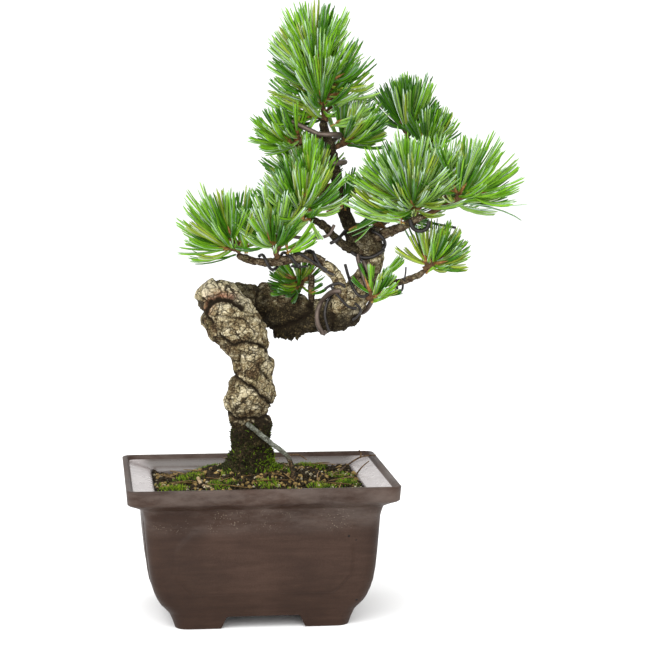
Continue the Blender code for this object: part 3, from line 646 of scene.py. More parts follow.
def scattered_sites(frames, spacing, chance):
    """Points dealt out unevenly over a limb's surface, about one spacing apart."""
    sites = []
    run = 0.0
    for (place, radius, _, side, across), (after, *_) in zip(frames, frames[1:]):
        run += (after - place).length
        if run < spacing and sites:
            continue
        run = 0.0
        count = max(3, round(FULL_TURN * radius / spacing))
        first = chance.uniform(0, FULL_TURN)
        for number in range(count):
            turn = first + FULL_TURN * (number + chance.uniform(-0.38, 0.38)) / count
            out = side * math.cos(turn) + across * math.sin(turn)
            shift = Vector([chance.uniform(-0.4, 0.4) * spacing for _ in range(3)])
            sites.append(place + out * radius + shift)
    return sites


# How much flatter than wide a plate is, and the size of each bend of its edges: how fine, and how strong
FLAKE_FLATNESS = 1.5
PLATE_WARPS = ((0.8, 0.34), (3.1, 0.16), (8.0, 0.07))
PLATE_TILT = 1.1


class Plates:
    """Irregular plates over a limb, each with its own height, tilt and tint."""

    def __init__(self, frames, spacing, chance):
        self.sites = scattered_sites(frames, spacing, chance)
        self.spacing = spacing
        self.tree = KDTree(len(self.sites))
        for index, site in enumerate(self.sites):
            self.tree.insert((site.x, site.y, site.z * FLAKE_FLATNESS), index)
        self.tree.balance()
        self.lifts = [chance.uniform(-0.6, 0.6) for _ in self.sites]
        self.tilts = [Vector([chance.uniform(-1, 1) for _ in range(3)]) for _ in self.sites]
        self.tints = [chance.random() for _ in self.sites]

    def at(self, place):
        """The nearest plate's lift and tint, and the distance from the seam beside it."""
        warp = Vector()
        for scale, amount in PLATE_WARPS:
            warp += noise.noise_vector(place * (scale / self.spacing)) * amount
        spot = place + warp * self.spacing
        spot.z *= FLAKE_FLATNESS
        (site, index, near), (_, _, far) = self.tree.find_n(spot, 2)
        tilt = self.tilts[index].dot(spot - site) / self.spacing
        return self.lifts[index] + PLATE_TILT * tilt, self.tints[index], (far - near) / 2


def bark_relief(place, grain, plates, scales, look):
    """Lift of the bark in millimetres, how cracked it is and its tint, at one place."""
    plate_lift, plate_tint, plate_edge = plates.at(place)
    scale_lift, scale_tint, scale_edge = scales.at(place)
    gape = 0.5 + noise.noise(place * 0.21)
    width = plates.spacing * 0.05 * max(0.0, gape) + 0.2
    crack = (1 - step_up(plate_edge, 0.3 * width, width)) * look.cracks * step_up(gape, 0.1, 0.36)
    split = (1 - step_up(scale_edge, 0.05, 0.1 * scales.spacing + 0.1)) * step_up(gape, 0.2, 0.6)
    split *= look.cracks
    fibres = noise.noise(grain)
    lift = 0.7 * plate_lift + 0.34 * scale_lift - 0.7 * crack - 0.25 * split
    lift += look.fibre * fibres + 0.1 * noise.noise(place * 1.5) + 0.08 * noise.noise(place * 3.3)
    tint = 0.42 * plate_tint + 0.4 * scale_tint + 0.16 + 0.3 * look.fibre * fibres + 0.1 * scale_lift
    return look.relief * lift, max(crack, 0.75 * split), tint


def nearness(places, line, half_width):
    """How near each place is to a line that is drawn on the front view, from 0 far off to 1 on it."""
    flat = places[:, (0, 2)]
    nearest = np.full(len(places), 1e9)
    for start, end in zip(np.array(line), np.array(line)[1:]):
        run = end - start
        share = np.clip((flat - start) @ run / (run @ run), 0, 1)
        away = np.linalg.norm(flat - start - share[:, None] * run, axis=1)
        nearest = np.minimum(nearest, away)
    return np.exp(-(nearest / half_width) ** 1.5)


def groove_depths(places, outward, grooves, cracks):
    """How deep old wire scars and big cracks cut at each place, in millimetres."""
    wander = [noise.noise_vector(Vector(place) * 0.3) + noise.noise_vector(Vector(place) * 1.1) * 0.4
              for place in places]
    places = places + np.array(wander) * 1.1
    depths = np.zeros(len(places))
    for depth, half_width, line in grooves:
        depths = np.maximum(depths, depth * nearness(places, line, half_width))
    facing = np.clip(0.3 - outward[:, 1] * 2, 0, 1)
    for depth, half_width, line in cracks:
        depths = np.maximum(depths, facing * depth * nearness(places, line, half_width))
    return depths


# The line of freshly broken bark under the brow of the trunk's head, its half width and how red it is
RED_BROW = ((-25.5, 149.5), (-22.0, 154.6), (-17.6, 156.8), (-12.0, 156.0))
RED_BROW_WIDTH = 2.1
REDNESS = 0.85


def red_brow(places):
    """How red each place is. The brow is only in front."""
    behind = places[:, 1] > 0
    return np.where(behind, 0.0, REDNESS * nearness(places, RED_BROW, RED_BROW_WIDTH))


# What the bark of one limb is like: size of a mesh step, of a plate and of a scale on it, the relief's
# height, how cracked it is, how fibrous, how knobbly, its grooves and cracks, its mossy places and
# painted shade, and whether its end is rounded
Look = namedtuple(
    "Look", "name slot step plate scale relief cracks fibre knobbly grooves cracks_in_front damp dome",
    defaults=(0.0, (), (), None, True),
)
# Below this height the lower trunk's rings lie level
LEVEL_FOOT = 74
# How far ragged bark hangs from the middle trunk's underside
HANGING = 3.6
# How much paler the top of the lower trunk's head is
PALE_HEAD = 0.44


def evened(spots, sides):
    """The spots of a tube, evened out along it, so that its rings don't cross inside a bend."""
    grid = np.array(spots).reshape(-1, sides, 3)
    for _ in range(EVENING_ROUNDS):
        grid[1:-1] = (grid[:-2] + 2 * grid[1:-1] + grid[2:]) / 4
    return [Vector(spot) for spot in grid.reshape(-1, 3)]


def stations_of(frames, look):
    """A limb's rings: the frame of each, its width and how far ahead it stands, as shares of the radius."""
    stations = [(item, 1.0, 0.0) for item in frames]
    if look.dome:
        steps = max(6, round(math.pi / 2 * frames[-1][1] / look.step))
        for step in range(1, steps):
            turn = math.pi / 2 * step / steps
            stations.append((frames[-1], math.cos(turn), DOME_HEIGHT * math.sin(turn)))
    return stations


def smooth_limb(look, stations, sides):
    """The places of a limb's points without bark, their ways outwards and their places in the grain."""
    spots, pushes, grains = [], [], []
    along = 0.0
    before = stations[0][0][0]
    for (place, radius, forward, side, across), shrink, ahead in stations:
        along += (place - before).length
        before = place
        if look.name == "trunk_lower" and place.z < LEVEL_FOOT:
            forward, side, across = Vector((0, 0, 1)), Vector((0, -1, 0)), Vector((1, 0, 0))
        middle = place + forward * radius * ahead
        for turn, out in ring_ways(side, across, sides):
            swell = 1 + look.knobbly * old_swellings(place + out * radius, turn, place.z + place.x)
            spots.append(middle + out * radius * swell * shrink)
            pushes.append((out * shrink + forward * ahead).normalized())
            round_it = (radius * math.sin(turn) * 1.1, radius * math.cos(turn) * 1.1)
            grains.append(Vector((along * 0.16, *round_it)))
    return evened(spots, sides), pushes, grains


def hanging_bark(spot, push):
    """How far ragged bark hangs from the middle trunk at one place."""
    most = HANGING * step_up(-push.z, 0.3, 0.8) * step_up(spot.x, 5, 9) * step_up(-spot.x, -27, -21)
    return most * max(0.0, 0.2 + noise.noise(spot * 0.35)) * (1 + noise.noise(spot * 1.4))


def limb_skin(look):
    """Points, triangles and marks of a limb's bark, as fine as its look says."""
    chance = random.Random(f"{SEED} bark {look.name}")
    points = LIMBS[look.name]
    reach = sum(math.dist(a[:3], b[:3]) for a, b in zip(points, points[1:]))
    steps = max(2, round(reach / look.step / (len(points) - 1)))
    frames = frames_along(smooth_route(points, steps))
    sides = max(12, round(FULL_TURN * max(point[3] for point in points) / look.step))
    plates = Plates(frames, look.plate, chance)
    scales = Plates(frames, look.scale, chance)
    stations = stations_of(frames, look)
    spots, pushes, grains = smooth_limb(look, stations, sides)
    depths = groove_depths(np.array(spots), np.array(pushes), look.grooves, look.cracks_in_front)
    marks = {"crack": [], "tint": [], "damp": [], "red": red_brow(np.array(spots)).tolist()}
    vertices = []
    for spot, push, grain, depth in zip(spots, pushes, grains, depths):
        lift, crack, tint = bark_relief(spot, grain, plates, scales, look)
        if look.name == "trunk_middle":
            lift += hanging_bark(spot, push)
        if look.name == "trunk_lower":
            tint += PALE_HEAD * step_up(spot.z, 146, 156)
        cut = min(1.0, depth)
        vertices.append(spot + push * (lift * (1 - 0.5 * cut) - depth))
        # Grooves are painted darker the deeper they cut, in the crack mark and the tint: painted shade
        marks["crack"].append(max(crack, step_up(depth, 0.5, 1.9)))
        marks["tint"].append(tint - 0.16 * cut)
        # Moss, and painted shade on the middle and upper trunk
        marks["damp"].append(look.damp(spot) if look.damp else 0.0)
    (place, radius, forward, *_), _, ahead = stations[-1]
    vertices += [stations[0][0][0], place + forward * radius * ahead]
    for values in marks.values():
        values += [values[0], values[-1]]
    return vertices, tube_faces(len(stations), sides), marks


def damp_foot(place):
    """How moist and mossy the lower trunk is: fully so up to a rough line above the soil."""
    edge = 95.5 + 2.5 * noise.noise(place * 0.12) + 2.0 * noise.noise(place * 0.6)
    return 1 - step_up(place.z, edge - 1.5, edge + 1.5)


def dirty_and_shaded_middle(place):
    """The middle trunk is dark all along, partly dirt and partly painted shade, most so behind the lower
    trunk and underneath.
    """
    patches = noise.noise(place * 0.16) + 0.5 * noise.noise(place * 0.5)
    # Painted shade: darker on the underside and towards the left, behind the lower trunk
    shade = 0.3 + step_up(147 - place.z, -7, 5) * 0.85 + step_up(30 - place.x, -4, 8) * 0.3
    return min(0.95, max(0.0, shade + 0.5 * patches))


def mossy_and_shaded_upper(place):
    """Moss in patches on the upper trunk, and from its knot upwards darker bark all over, partly moss and
    partly painted shade.
    """
    patches = 0.5 * step_up(noise.noise(place * 0.2) + 0.012 * (place.z - 176), 0.0, 0.3)
    # From the knot up: painted shade under the foliage, with moss
    return max(patches, step_up(place.z + 6 * noise.noise(place * 0.25), 173, 180) * 0.8)


def damp_stick(place):
    """The stick's lower length is brown."""
    return 1 - step_up(place.z, 77, 81)


# Plate, scale, relief, cracks and fibre of the boughs' bark
BOUGH = (2.6, 1.1, 0.4, 0.35, 0.3)
LOOKS = (
    Look("trunk_lower", "old_bark", 0.36, 6.4, 2.3, 0.9, 0.9, 0.1, 1.0, GROOVES, FRONT_CRACKS, damp_foot),
    Look("trunk_middle", "old_bark", 0.36, 6.0, 2.0, 0.8, 0.5, 0.6, 1.0, MIDDLE_GROOVES, (), dirty_and_shaded_middle),
    Look("trunk_upper", "old_bark", 0.36, 4.2, 1.4, 0.5, 0.35, 0.3, 0.8, damp=mossy_and_shaded_upper),
    Look("leader", "young_bark", 0.36, 2.8, 1.2, 0.4, 0.4, 0.2, damp=mossy_and_shaded_upper),
    Look("bough_left_rise", "old_bark", 0.36, 3.6, 1.3, 0.4, 0.3, 0.3),
    Look("bough_left", "young_bark", 0.34, *BOUGH),
    Look("bough_left_mid", "young_bark", 0.34, *BOUGH, damp=mossy_and_shaded_upper),
    Look("bough_right_pad", "young_bark", 0.34, *BOUGH),
    Look("bough_right_low", "young_bark", 0.34, *BOUGH),
    Look("bough_back_right", "young_bark", 0.4, *BOUGH),
    Look("bough_back_left", "young_bark", 0.4, *BOUGH),
    Look("bough_back_low", "young_bark", 0.4, *BOUGH),
    Look("cut_stub", "young_bark", 0.34, 2.4, 1.1, 0.25, 0.2, 0.5, dome=False),
    Look("grey_stick", "young_bark", 0.34, 3.4, 1.3, 0.2, 0.2, 0.5, damp=damp_stick, dome=False),
)


# Colours of bark from its darkest flakes to its brightest
OLD_BARK = ((0.014, 0.009, 0.004), (0.09, 0.056, 0.027), (0.17, 0.132, 0.068), (0.32, 0.27, 0.16),
            (0.53, 0.47, 0.33))
YOUNG_BARK = ((0.012, 0.008, 0.004), (0.05, 0.03, 0.016), (0.085, 0.06, 0.034), (0.15, 0.115, 0.07),
              (0.26, 0.21, 0.14))
GREY_WOOD = ((0.03, 0.028, 0.02), (0.06, 0.058, 0.042), (0.08, 0.085, 0.066), (0.12, 0.13, 0.105),
             (0.2, 0.21, 0.17))


def make_limbs():
    """Bark over the trunk, the leader, the boughs, the stub and the stick, and a search tree over each."""
    old = bark_finish("old_bark", OLD_BARK, (0.012, 0.008, 0.004), (0.026, 0.019, 0.008), 170.0)
    young = bark_finish("young_bark", YOUNG_BARK, (0.01, 0.006, 0.004), (0.026, 0.022, 0.008), 330.0)
    grey = bark_finish("weathered_wood", GREY_WOOD, (0.03, 0.028, 0.02), (0.05, 0.03, 0.014), 400.0)
    finishes = {"old_bark": old, "young_bark": young}
    trees = {}
    for look in LOOKS:
        points, faces, marks = limb_skin(look)
        material = grey if look.name == "grey_stick" else finishes[look.slot]
        piece = mesh_piece(look.name + "_bark", points, faces, [material], marks)
        belongs(piece, look.slot, look.name)
        trees[look.name] = BVHTree.FromPolygons(points, faces)
    return trees


def rounded_ring(half_x, half_y, corner, height, corner_steps=10, long_steps=84, side_steps=64):
    """Points round a rectangle with round corners, close together along its sides too."""
    points = []
    centres = ((1, 1, 0), (-1, 1, 90), (-1, -1, 180), (1, -1, 270))
    arcs = []
    for across, along, start in centres:
        arc = []
        for step in range(corner_steps + 1):
            turn = math.radians(start + 90 * step / corner_steps)
            x = across * (half_x - corner) + corner * math.cos(turn)
            y = along * (half_y - corner) + corner * math.sin(turn)
            arc.append((x, y))
        arcs.append(arc)
    for index, arc in enumerate(arcs):
        points += arc
        end, start = arc[-1], arcs[(index + 1) % 4][0]
        count = long_steps if index % 2 == 0 else side_steps
        for step in range(1, count):
            share = step / count
            x, y = (low + (high - low) * share for low, high in zip(end, start))
            points.append((x, y))
    return [(x, y, height) for x, y in points]


def outer_halves(height):
    """Half the pot's width and depth at a height."""
    inset = OUTER_WALL[-1][1]
    for (low, low_inset), (high, high_inset) in zip(OUTER_WALL, OUTER_WALL[1:]):
        if low <= height <= high:
            share = (height - low) / (high - low)
            inset = low_inset + (high_inset - low_inset) * share
            break
    below_rim = max(0.0, inset - RIM_OVERHANG)
    depth_inset = min(inset, RIM_OVERHANG) + below_rim * DEPTH_TAPER
    return POT_WIDTH / 2 - inset, POT_DEPTH / 2 - depth_inset


def arch_height(x, y):
    """Height of the pot's underside: nothing under the feet, and the feet's height in the arches."""
    slope = (FOOT_HEIGHT + BELOW_TABLE) / ARCH_SLOPE
    front = (ARCH_WIDTH / 2 + ARCH_SLOPE / 2 - abs(x)) * slope - BELOW_TABLE
    side = (SIDE_ARCH_WIDTH / 2 + ARCH_SLOPE / 2 - abs(y)) * slope - BELOW_TABLE
    return min(FOOT_HEIGHT, max(0.0, front, side))


# The faint panel on each face: half its width on the long and on the short faces, the height of its middle,
# half its own height, how far its corners are clipped and how far it stands out
PANEL_HALVES = (42.0, 28.0)
PANEL_MIDDLE = 33.0
PANEL_HALF_HEIGHT = 15.6
PANEL_CLIP = 9.0
PANEL_LIFT = 0.8
WAVINESS = 0.25


def panel_lift(x, y, z, half_y):
    """A faint raised panel with clipped corners on each face of the pot."""
    if abs(y) > half_y - 1.5:
        over = abs(x) - PANEL_HALVES[0]
    else:
        over = abs(y) - PANEL_HALVES[1]
    above = abs(z - PANEL_MIDDLE) - PANEL_HALF_HEIGHT
    outside = max(over, above, (over + above + PANEL_CLIP) / math.sqrt(2))
    return PANEL_LIFT * (1 - step_up(outside, -0.8, 0.8))


def pot_ring(height):
    """One ring of the pot's outer wall, lifted over the arches, with the panels and a slight waviness."""
    half_x, half_y = outer_halves(height)
    corner = POT_CORNER if height < WALL_TOP else RIM_CORNER
    ring = []
    for x, y, z in rounded_ring(half_x, half_y, corner, height):
        arch = arch_height(x, y)
        if height < arch:
            high_x, high_y = outer_halves(arch)
            x, y, z = x * high_x / half_x, y * high_y / half_y, arch
        lift = panel_lift(x, y, z, half_y) if 12 < height < 54 else 0.0
        lift += WAVINESS * noise.noise(Vector((x, y, z)) * 0.035) - WAVINESS
        ring.append((x * (1 + lift / half_x), y * (1 + lift / half_y), z))
    return ring


UNDERSIDE_RINGS = 26


def make_pot():
    """The clay pot: feet, tapered walls with faint panels, an overhanging rim with a lip, and a flange."""
    wall = smooth_route([(height, inset, 0, 0) for height, inset in OUTER_WALL], 5)
    foot_ring = pot_ring(0.0)
    rings = []
    for step in range(1, UNDERSIDE_RINGS):
        share = step / UNDERSIDE_RINGS
        rings.append([(x * share, y * share, arch_height(x * share, y * share)) for x, y, _ in foot_ring])
    rings += [pot_ring(row[0]) for row in wall]
    for depth, inset, corner in RIM_TOP:
        rings.append(rounded_ring(POT_WIDTH / 2 - inset, POT_DEPTH / 2 - inset, corner, POT_HEIGHT - depth))
    for height in CAVITY_HEIGHTS:
        half_x, half_y = outer_halves(min(height, WALL_TOP))
        rings.append(rounded_ring(half_x - POT_WALL, half_y - POT_WALL, POT_CORNER - POT_WALL / 2, height))
    points = [point for ring in rings for point in ring]
    points += [(0, 0, FOOT_HEIGHT), (0, 0, FLOOR_TOP)]
    faces = tube_faces(len(rings), len(foot_ring))
    ring_faces = 2 * len(foot_ring)
    first_washed = ring_faces * (len(rings) - len(CAVITY_HEIGHTS) - WASHED_RINGS)
    washed = [int(first_washed <= number < ring_faces * (len(rings) - 1)) for number in range(len(faces))]
    # Darker towards the back of the flange: partly bare clay, partly painted shade
    bare = [BARE_AND_SHADED_BACK * step_up(y, 30, 40) * step_up(58 - abs(x), 0, 8) for x, y, _ in points]
    piece = mesh_piece("clay_pot", points, faces, [clay_finish(), flange_finish()], {"bare": bare}, washed)
    piece.data.set_sharp_from_angle(angle=SHARP_ANGLE)
    belongs(piece, "clay", "pot")


# Cushions of moss on the soil: x, y, radius and height
CUSHIONS = (
    (-42, -27, 8, 1.9), (-20, -28, 8, 1.5), (3, -29, 7, 1.4), (29, -28, 8, 1.7), (42, -20, 7, 2.0),
    (41, 2, 8, 1.5), (-34, -8, 9, 1.4), (-24, 20, 8, 1.5), (3, 28, 8, 1.6), (30, 26, 9, 1.8),
)


def cushion_rise(x, y):
    """How far the cushion at a place stands above the soil."""
    rises = [height * (1 - (math.dist((x, y), (middle_x, middle_y)) / radius) ** 4)
             for middle_x, middle_y, radius, height in CUSHIONS]
    return max(0.0, *rises)


def soil_height(x, y):
    """The soil's surface: flat under the trunk, falling away to the pot's wall, lowest at the back left."""
    away = math.dist((x, y), SOIL_MIDDLE)
    if away < SOIL_SEAT_RADIUS:
        return SOIL_SEAT
    fall = min(1.0, (away - SOIL_SEAT_RADIUS) / SOIL_SLOPE_LENGTH)
    height = SOIL_SEAT + (SOIL_EDGE - SOIL_SEAT) * fall
    hollow = max(0.0, 1 - math.dist((x, y), HOLLOW_MIDDLE) / HOLLOW_RADIUS)
    rough = 1 + noise.noise(Vector((x, y, SEED)) * SOIL_LUMP_SCALE)
    return height - HOLLOW_DEPTH * hollow - SOIL_ROUGHNESS * fall * rough


def ground(x, y):
    """The soil's height with its cushions."""
    return soil_height(x, y) + cushion_rise(x, y)


# Rings of the soil's surface, the height that it goes down to out of sight, and how far it lies below the
# solid, because loose grains cover it
SOIL_RINGS = 46
SOIL_BOTTOM = 40.0
SOIL_SINK = 0.5


def make_soil():
    """The soil's own surface, with lumps."""
    half_x, half_y = outer_halves(WALL_TOP)
    inset = POT_WALL + GAP
    edge = rounded_ring(half_x - inset, half_y - inset, POT_CORNER - POT_WALL / 2, 0, 4, 60, 44)
    rings = [[(x, y, SOIL_BOTTOM) for x, y, _ in edge]]
    for step in range(SOIL_RINGS):
        share = 1 - step / SOIL_RINGS
        ring = []
        for x, y, _ in edge:
            x, y = x * share, y * share
            lump = 0.7 * noise.noise(Vector((x, y, 1)) * 0.5) + 0.4 * noise.noise(Vector((x, y, 2)) * 1.3)
            ring.append((x, y, ground(x, y) - SOIL_SINK + lump))
        rings.append(ring)
    points = [point for ring in rings for point in ring]
    points += [(0, 0, SOIL_BOTTOM), (0, 0, SOIL_SEAT - SOIL_SINK)]
    faces = tube_faces(len(rings), len(edge))
    belongs(mesh_piece("soil_surface", points, faces, [soil_finish()]), "soil", "soil")
    return BVHTree.FromPolygons(points, faces)


def random_turns(count, draw):
    """Random rotation matrices."""
    quaternion = draw.normal(size=(count, 4))
    w, x, y, z = (quaternion / np.linalg.norm(quaternion, axis=1, keepdims=True)).T
    rows = (
        (1 - 2 * (y * y + z * z), 2 * (x * y - z * w), 2 * (x * z + y * w)),
        (2 * (x * y + z * w), 1 - 2 * (x * x + z * z), 2 * (y * z - x * w)),
        (2 * (x * z - y * w), 2 * (y * z + x * w), 1 - 2 * (x * x + y * y)),
    )
    return np.stack([np.stack(row, axis=-1) for row in rows], axis=1)


def grain_shape():
    """The points and triangles of a twenty-sided grain."""
    golden = (1 + math.sqrt(5)) / 2
    points = []
    for a in (-1, 1):
        for b in (-golden, golden):
            points += [(0, a, b), (a, b, 0), (b, 0, a)]
    points = np.array(points) / math.sqrt(1 + golden * golden)
    edge = min(math.dist(points[0], other) for other in points[1:]) * 1.05
    faces = []
    for a in range(12):
        for b in range(a + 1, 12):
            for c in range(b + 1, 12):
                sides = (points[a] - points[b], points[b] - points[c], points[a] - points[c])
                if all(np.linalg.norm(side) < edge for side in sides):
                    outward = np.dot(np.cross(points[b] - points[a], points[c] - points[a]), points[a]) > 0
                    faces.append((a, b, c) if outward else (a, c, b))
    return points, np.array(faces)


def cavity_halves(clearance):
    """Half the width and depth of the pot's cavity, less a clearance."""
    return [half - POT_WALL - clearance for half in outer_halves(WALL_TOP)]


# Each kind of grain: how many, radii, and its darkest and lightest colour
GRAINS = {
    "grains_dark": (2300, (0.5, 1.3), (0.006, 0.004, 0.002), (0.03, 0.021, 0.009)),
    "grains_tan": (470, (0.4, 1.6), (0.05, 0.03, 0.008), (0.28, 0.195, 0.07)),
    "grains_grey": (170, (0.4, 1.3), (0.09, 0.075, 0.04), (0.42, 0.37, 0.26)),
}


def spots_on_soil(count, chance):
    """Random places on the soil round the trunk's foot, as x, y and z."""
    half_x, half_y = cavity_halves(1.2)
    spots = []
    while len(spots) < count:
        x, y = chance.uniform(-half_x, half_x), chance.uniform(-half_y, half_y)
        if math.dist((x, y), SOIL_MIDDLE) > 10:
            spots.append((x, y, soil_height(x, y) + 0.6 * cushion_rise(x, y)))
    return np.array(spots)


def make_grains():
    """Loose grains of three kinds over the soil."""
    shape, shape_faces = grain_shape()
    for number, (name, (count, radii, dark, light)) in enumerate(GRAINS.items()):
        spots = spots_on_soil(count, random.Random(f"{SEED} {name}"))
        draw = np.random.default_rng(SEED + number)
        radius = draw.uniform(*radii, size=(count, 1, 1)) * draw.uniform(0.7, 1.2, size=(count, 1, 3))
        jitter = draw.uniform(0.78, 1.15, size=(count, len(shape), 1))
        grains = np.einsum("nij,nvj->nvi", random_turns(count, draw), shape[None] * radius * jitter)
        grains += (spots + np.array((0, 0, 0.1)))[:, None, :]
        faces = shape_faces[None] + (np.arange(count) * len(shape))[:, None, None]
        materials = [rough_finish(name, dark, light)]
        piece = mesh_piece(name, grains.reshape(-1, 3), faces.reshape(-1, 3), materials, smooth=False)
        belongs(piece, "soil")


def cones(roots, ways, lengths, radii, sides=3):
    """Points and triangles of slim closed cones."""
    side = np.cross(ways, np.array((0.31, 0.17, 0.93)))
    side /= np.linalg.norm(side, axis=1, keepdims=True)
    across = np.cross(ways, side)
    turns = 2 * np.pi * np.arange(sides) / sides
    rings = side[:, None] * np.cos(turns)[:, None] + across[:, None] * np.sin(turns)[:, None]
    rings *= radii[:, None, None]
    points = np.concatenate([roots[:, None] + rings, (roots + ways * lengths[:, None])[:, None]], axis=1)
    number = np.arange(sides)
    after = (number + 1) % sides
    walls = np.stack([number, after, np.full(sides, sides)], axis=1)
    base = np.array([(0, step + 1, step) for step in range(1, sides - 1)])
    shape = np.concatenate([walls, base])
    faces = shape[None] + (np.arange(len(roots)) * (sides + 1))[:, None, None]
    return points.reshape(-1, 3), faces.reshape(-1, 3)


def cone_piece(name, stems, sizes, sides, material, draw, smooth=True):
    """One piece of many slim cones, from their roots and ways and the ranges of their lengths and radii."""
    roots = np.array([tuple(root) for root, _ in stems])
    ways = np.array([tuple(way) for _, way in stems])
    lengths, radii = (draw.uniform(*size, len(stems)) for size in sizes)
    points, faces = cones(roots, ways, lengths, radii, sides)
    return mesh_piece(name, points, faces, [material], smooth=smooth)


# Small tufts of moss beside the cushions, in the same terms
TUFTS = (
    (-13, -24, 4, 0.6), (14, -33, 4, 0.5), (-32, -32, 4, 0.6), (46, -31, 4, 0.8), (9, 3, 8, 1.2),
    (14, -6, 5, 0.8), (-14, -10, 5, 0.5), (-46, -12, 5, 0.6), (20, 20, 6, 0.6),
)
# How many leaves of moss stand on a square millimetre, and how far the outermost lean out
MOSS_DENSITY = 1.7
MOSS_LEAN = 0.5
# Leaves round the trunk's foot, the height where they start and how much higher the topmost is
FOOT_LEAVES = 2600
FOOT_MOSS_LOW = 69.5
FOOT_MOSS_REACH = 24
# Each kind of moss: its darkest and lightest colour, and lengths of a leaf
MOSS_KINDS = {
    "moss_bright": ((0.03, 0.07, 0.002), (0.15, 0.22, 0.01), (1.0, 2.4)),
    "moss_dark": ((0.004, 0.006, 0.001), (0.03, 0.036, 0.006), (0.7, 1.5)),
}
LEAF_RADII = (0.25, 0.48)


def moss_leaves(chance, count, middle_x, middle_y, radius):
    """The root and the way of each leaf of one cushion."""
    leaves = []
    for _ in range(count):
        turn = chance.uniform(0, FULL_TURN)
        away = radius * math.sqrt(chance.random()) * chance.uniform(0.6, 1.0)
        x, y = middle_x + away * math.cos(turn), middle_y + away * math.sin(turn)
        lean = MOSS_LEAN * away / radius
        lean_x, lean_y = (lean * part + chance.gauss(0, 0.3) for part in (math.cos(turn), math.sin(turn)))
        leaves.append(((x, y, ground(x, y) - 0.4), Vector((lean_x, lean_y, 1)).normalized()))
    return leaves


def foot_moss(chance, trunk_tree):
    """The root and the way of each leaf that climbs the foot of the trunk, and whether it is bright."""
    for _ in range(FOOT_LEAVES):
        turn = chance.uniform(0, FULL_TURN)
        height = FOOT_MOSS_LOW + FOOT_MOSS_REACH * chance.random() ** 2.2
        out = Vector((math.cos(turn), math.sin(turn), 0))
        hit, normal, _, _ = trunk_tree.ray_cast(Vector((-3, 0, height)) + out * 40, -out)
        if hit is None:
            continue
        right = max(0.0, out.x) * max(0.0, 1 - (height - 70) / 15)
        bright = chance.random() < 0.03 + 0.85 * right
        lean = Vector((chance.gauss(0, 0.35), chance.gauss(0, 0.35), 0.5))
        yield hit - normal * 0.1, (normal + lean).normalized(), bright


def inside_pot(x, y, clearance):
    """True inside the pot's cavity."""
    half_x, half_y = cavity_halves(clearance)
    return abs(x) < half_x and abs(y) < half_y


def make_moss(trunk_tree):
    """Cushions of moss on the soil, and moss that climbs the foot of the trunk."""
    chance = random.Random(f"{SEED} moss")
    bright_leaves, dark_leaves = [], []
    for x, y, radius, _ in CUSHIONS + TUFTS:
        for root, way in moss_leaves(chance, round(MOSS_DENSITY * math.pi * radius ** 2), x, y, radius):
            if inside_pot(root[0], root[1], 0.9):
                leaves = bright_leaves if chance.random() < 0.5 else dark_leaves
                leaves.append((root, way))
    for root, way, bright in foot_moss(chance, trunk_tree):
        leaves = bright_leaves if bright else dark_leaves
        leaves.append((root, way))
    for number, (name, leaves) in enumerate(zip(MOSS_KINDS, (bright_leaves, dark_leaves))):
        dark, light, lengths = MOSS_KINDS[name]
        draw = np.random.default_rng(SEED + 10 + number)
        finish = rough_finish(name, dark, light, 260.0, 0.7)
        belongs(cone_piece(name, leaves, (lengths, LEAF_RADII), 3, finish, draw, smooth=False), "soil")


# Spots of the photograph along each root or twig that lies on the soil, and its radius
ROOTS = (
    ("root_brown", 0.6, ((262, 477), (270, 471), (279, 468), (289, 464))),
    ("root_dark", 0.45, ((290, 455), (299, 455), (307, 460))),
    ("root_pale", 0.9, ((198, 478), (202, 485), (209, 487), (216, 491))),
    ("twig_long", 0.6, ((334, 477), (341, 470), (349, 464), (361, 457), (376, 455))),
    ("twig_prong", 0.45, ((360, 458), (361, 454), (359, 450))),
    ("twig_short", 0.45, ((356, 475), (362, 467), (369, 461))),
    ("twig_left", 0.5, ((222, 478), (231, 482), (243, 481))),
)
FREE_DEPTH = -8
DRY_NEEDLES = 34
DRY_NEEDLE_LENGTHS = (9.0, 24.0)
DRY_NEEDLE_COLOURS = (
    ((0.08, 0.04, 0.012), (0.22, 0.13, 0.04)),
    ((0.06, 0.03, 0.01), (0.16, 0.09, 0.03)),
    ((0.12, 0.08, 0.03), (0.28, 0.19, 0.08)),
)


def laid_line(spots, radius, trees):
    """The middle line of something that lies on what the camera sees behind spots of the photograph."""
    start = Vector(CAMERA_AT)
    ways = [sight(point[:2]) for point in smooth_route([(*spot, 0, 0) for spot in spots], 8)]
    known, reaches = [], []
    for index, way in enumerate(ways):
        hits = [tree.ray_cast(start, way)[3] for tree in trees]
        hits = [hit for hit in hits if hit is not None]
        if hits:
            known.append(index)
            reaches.append(min(hits))
    if not known:
        known, reaches = [0], [(at_depth(spots[0], FREE_DEPTH) - start).length]
    reaches = np.interp(range(len(ways)), known, reaches)
    line = []
    for index, way in enumerate(ways):
        near = reaches[max(0, index - 4):index + 5]
        line.append(start + way * (0.5 * (near.min() + near.mean()) - 0.8 * radius))
    return line


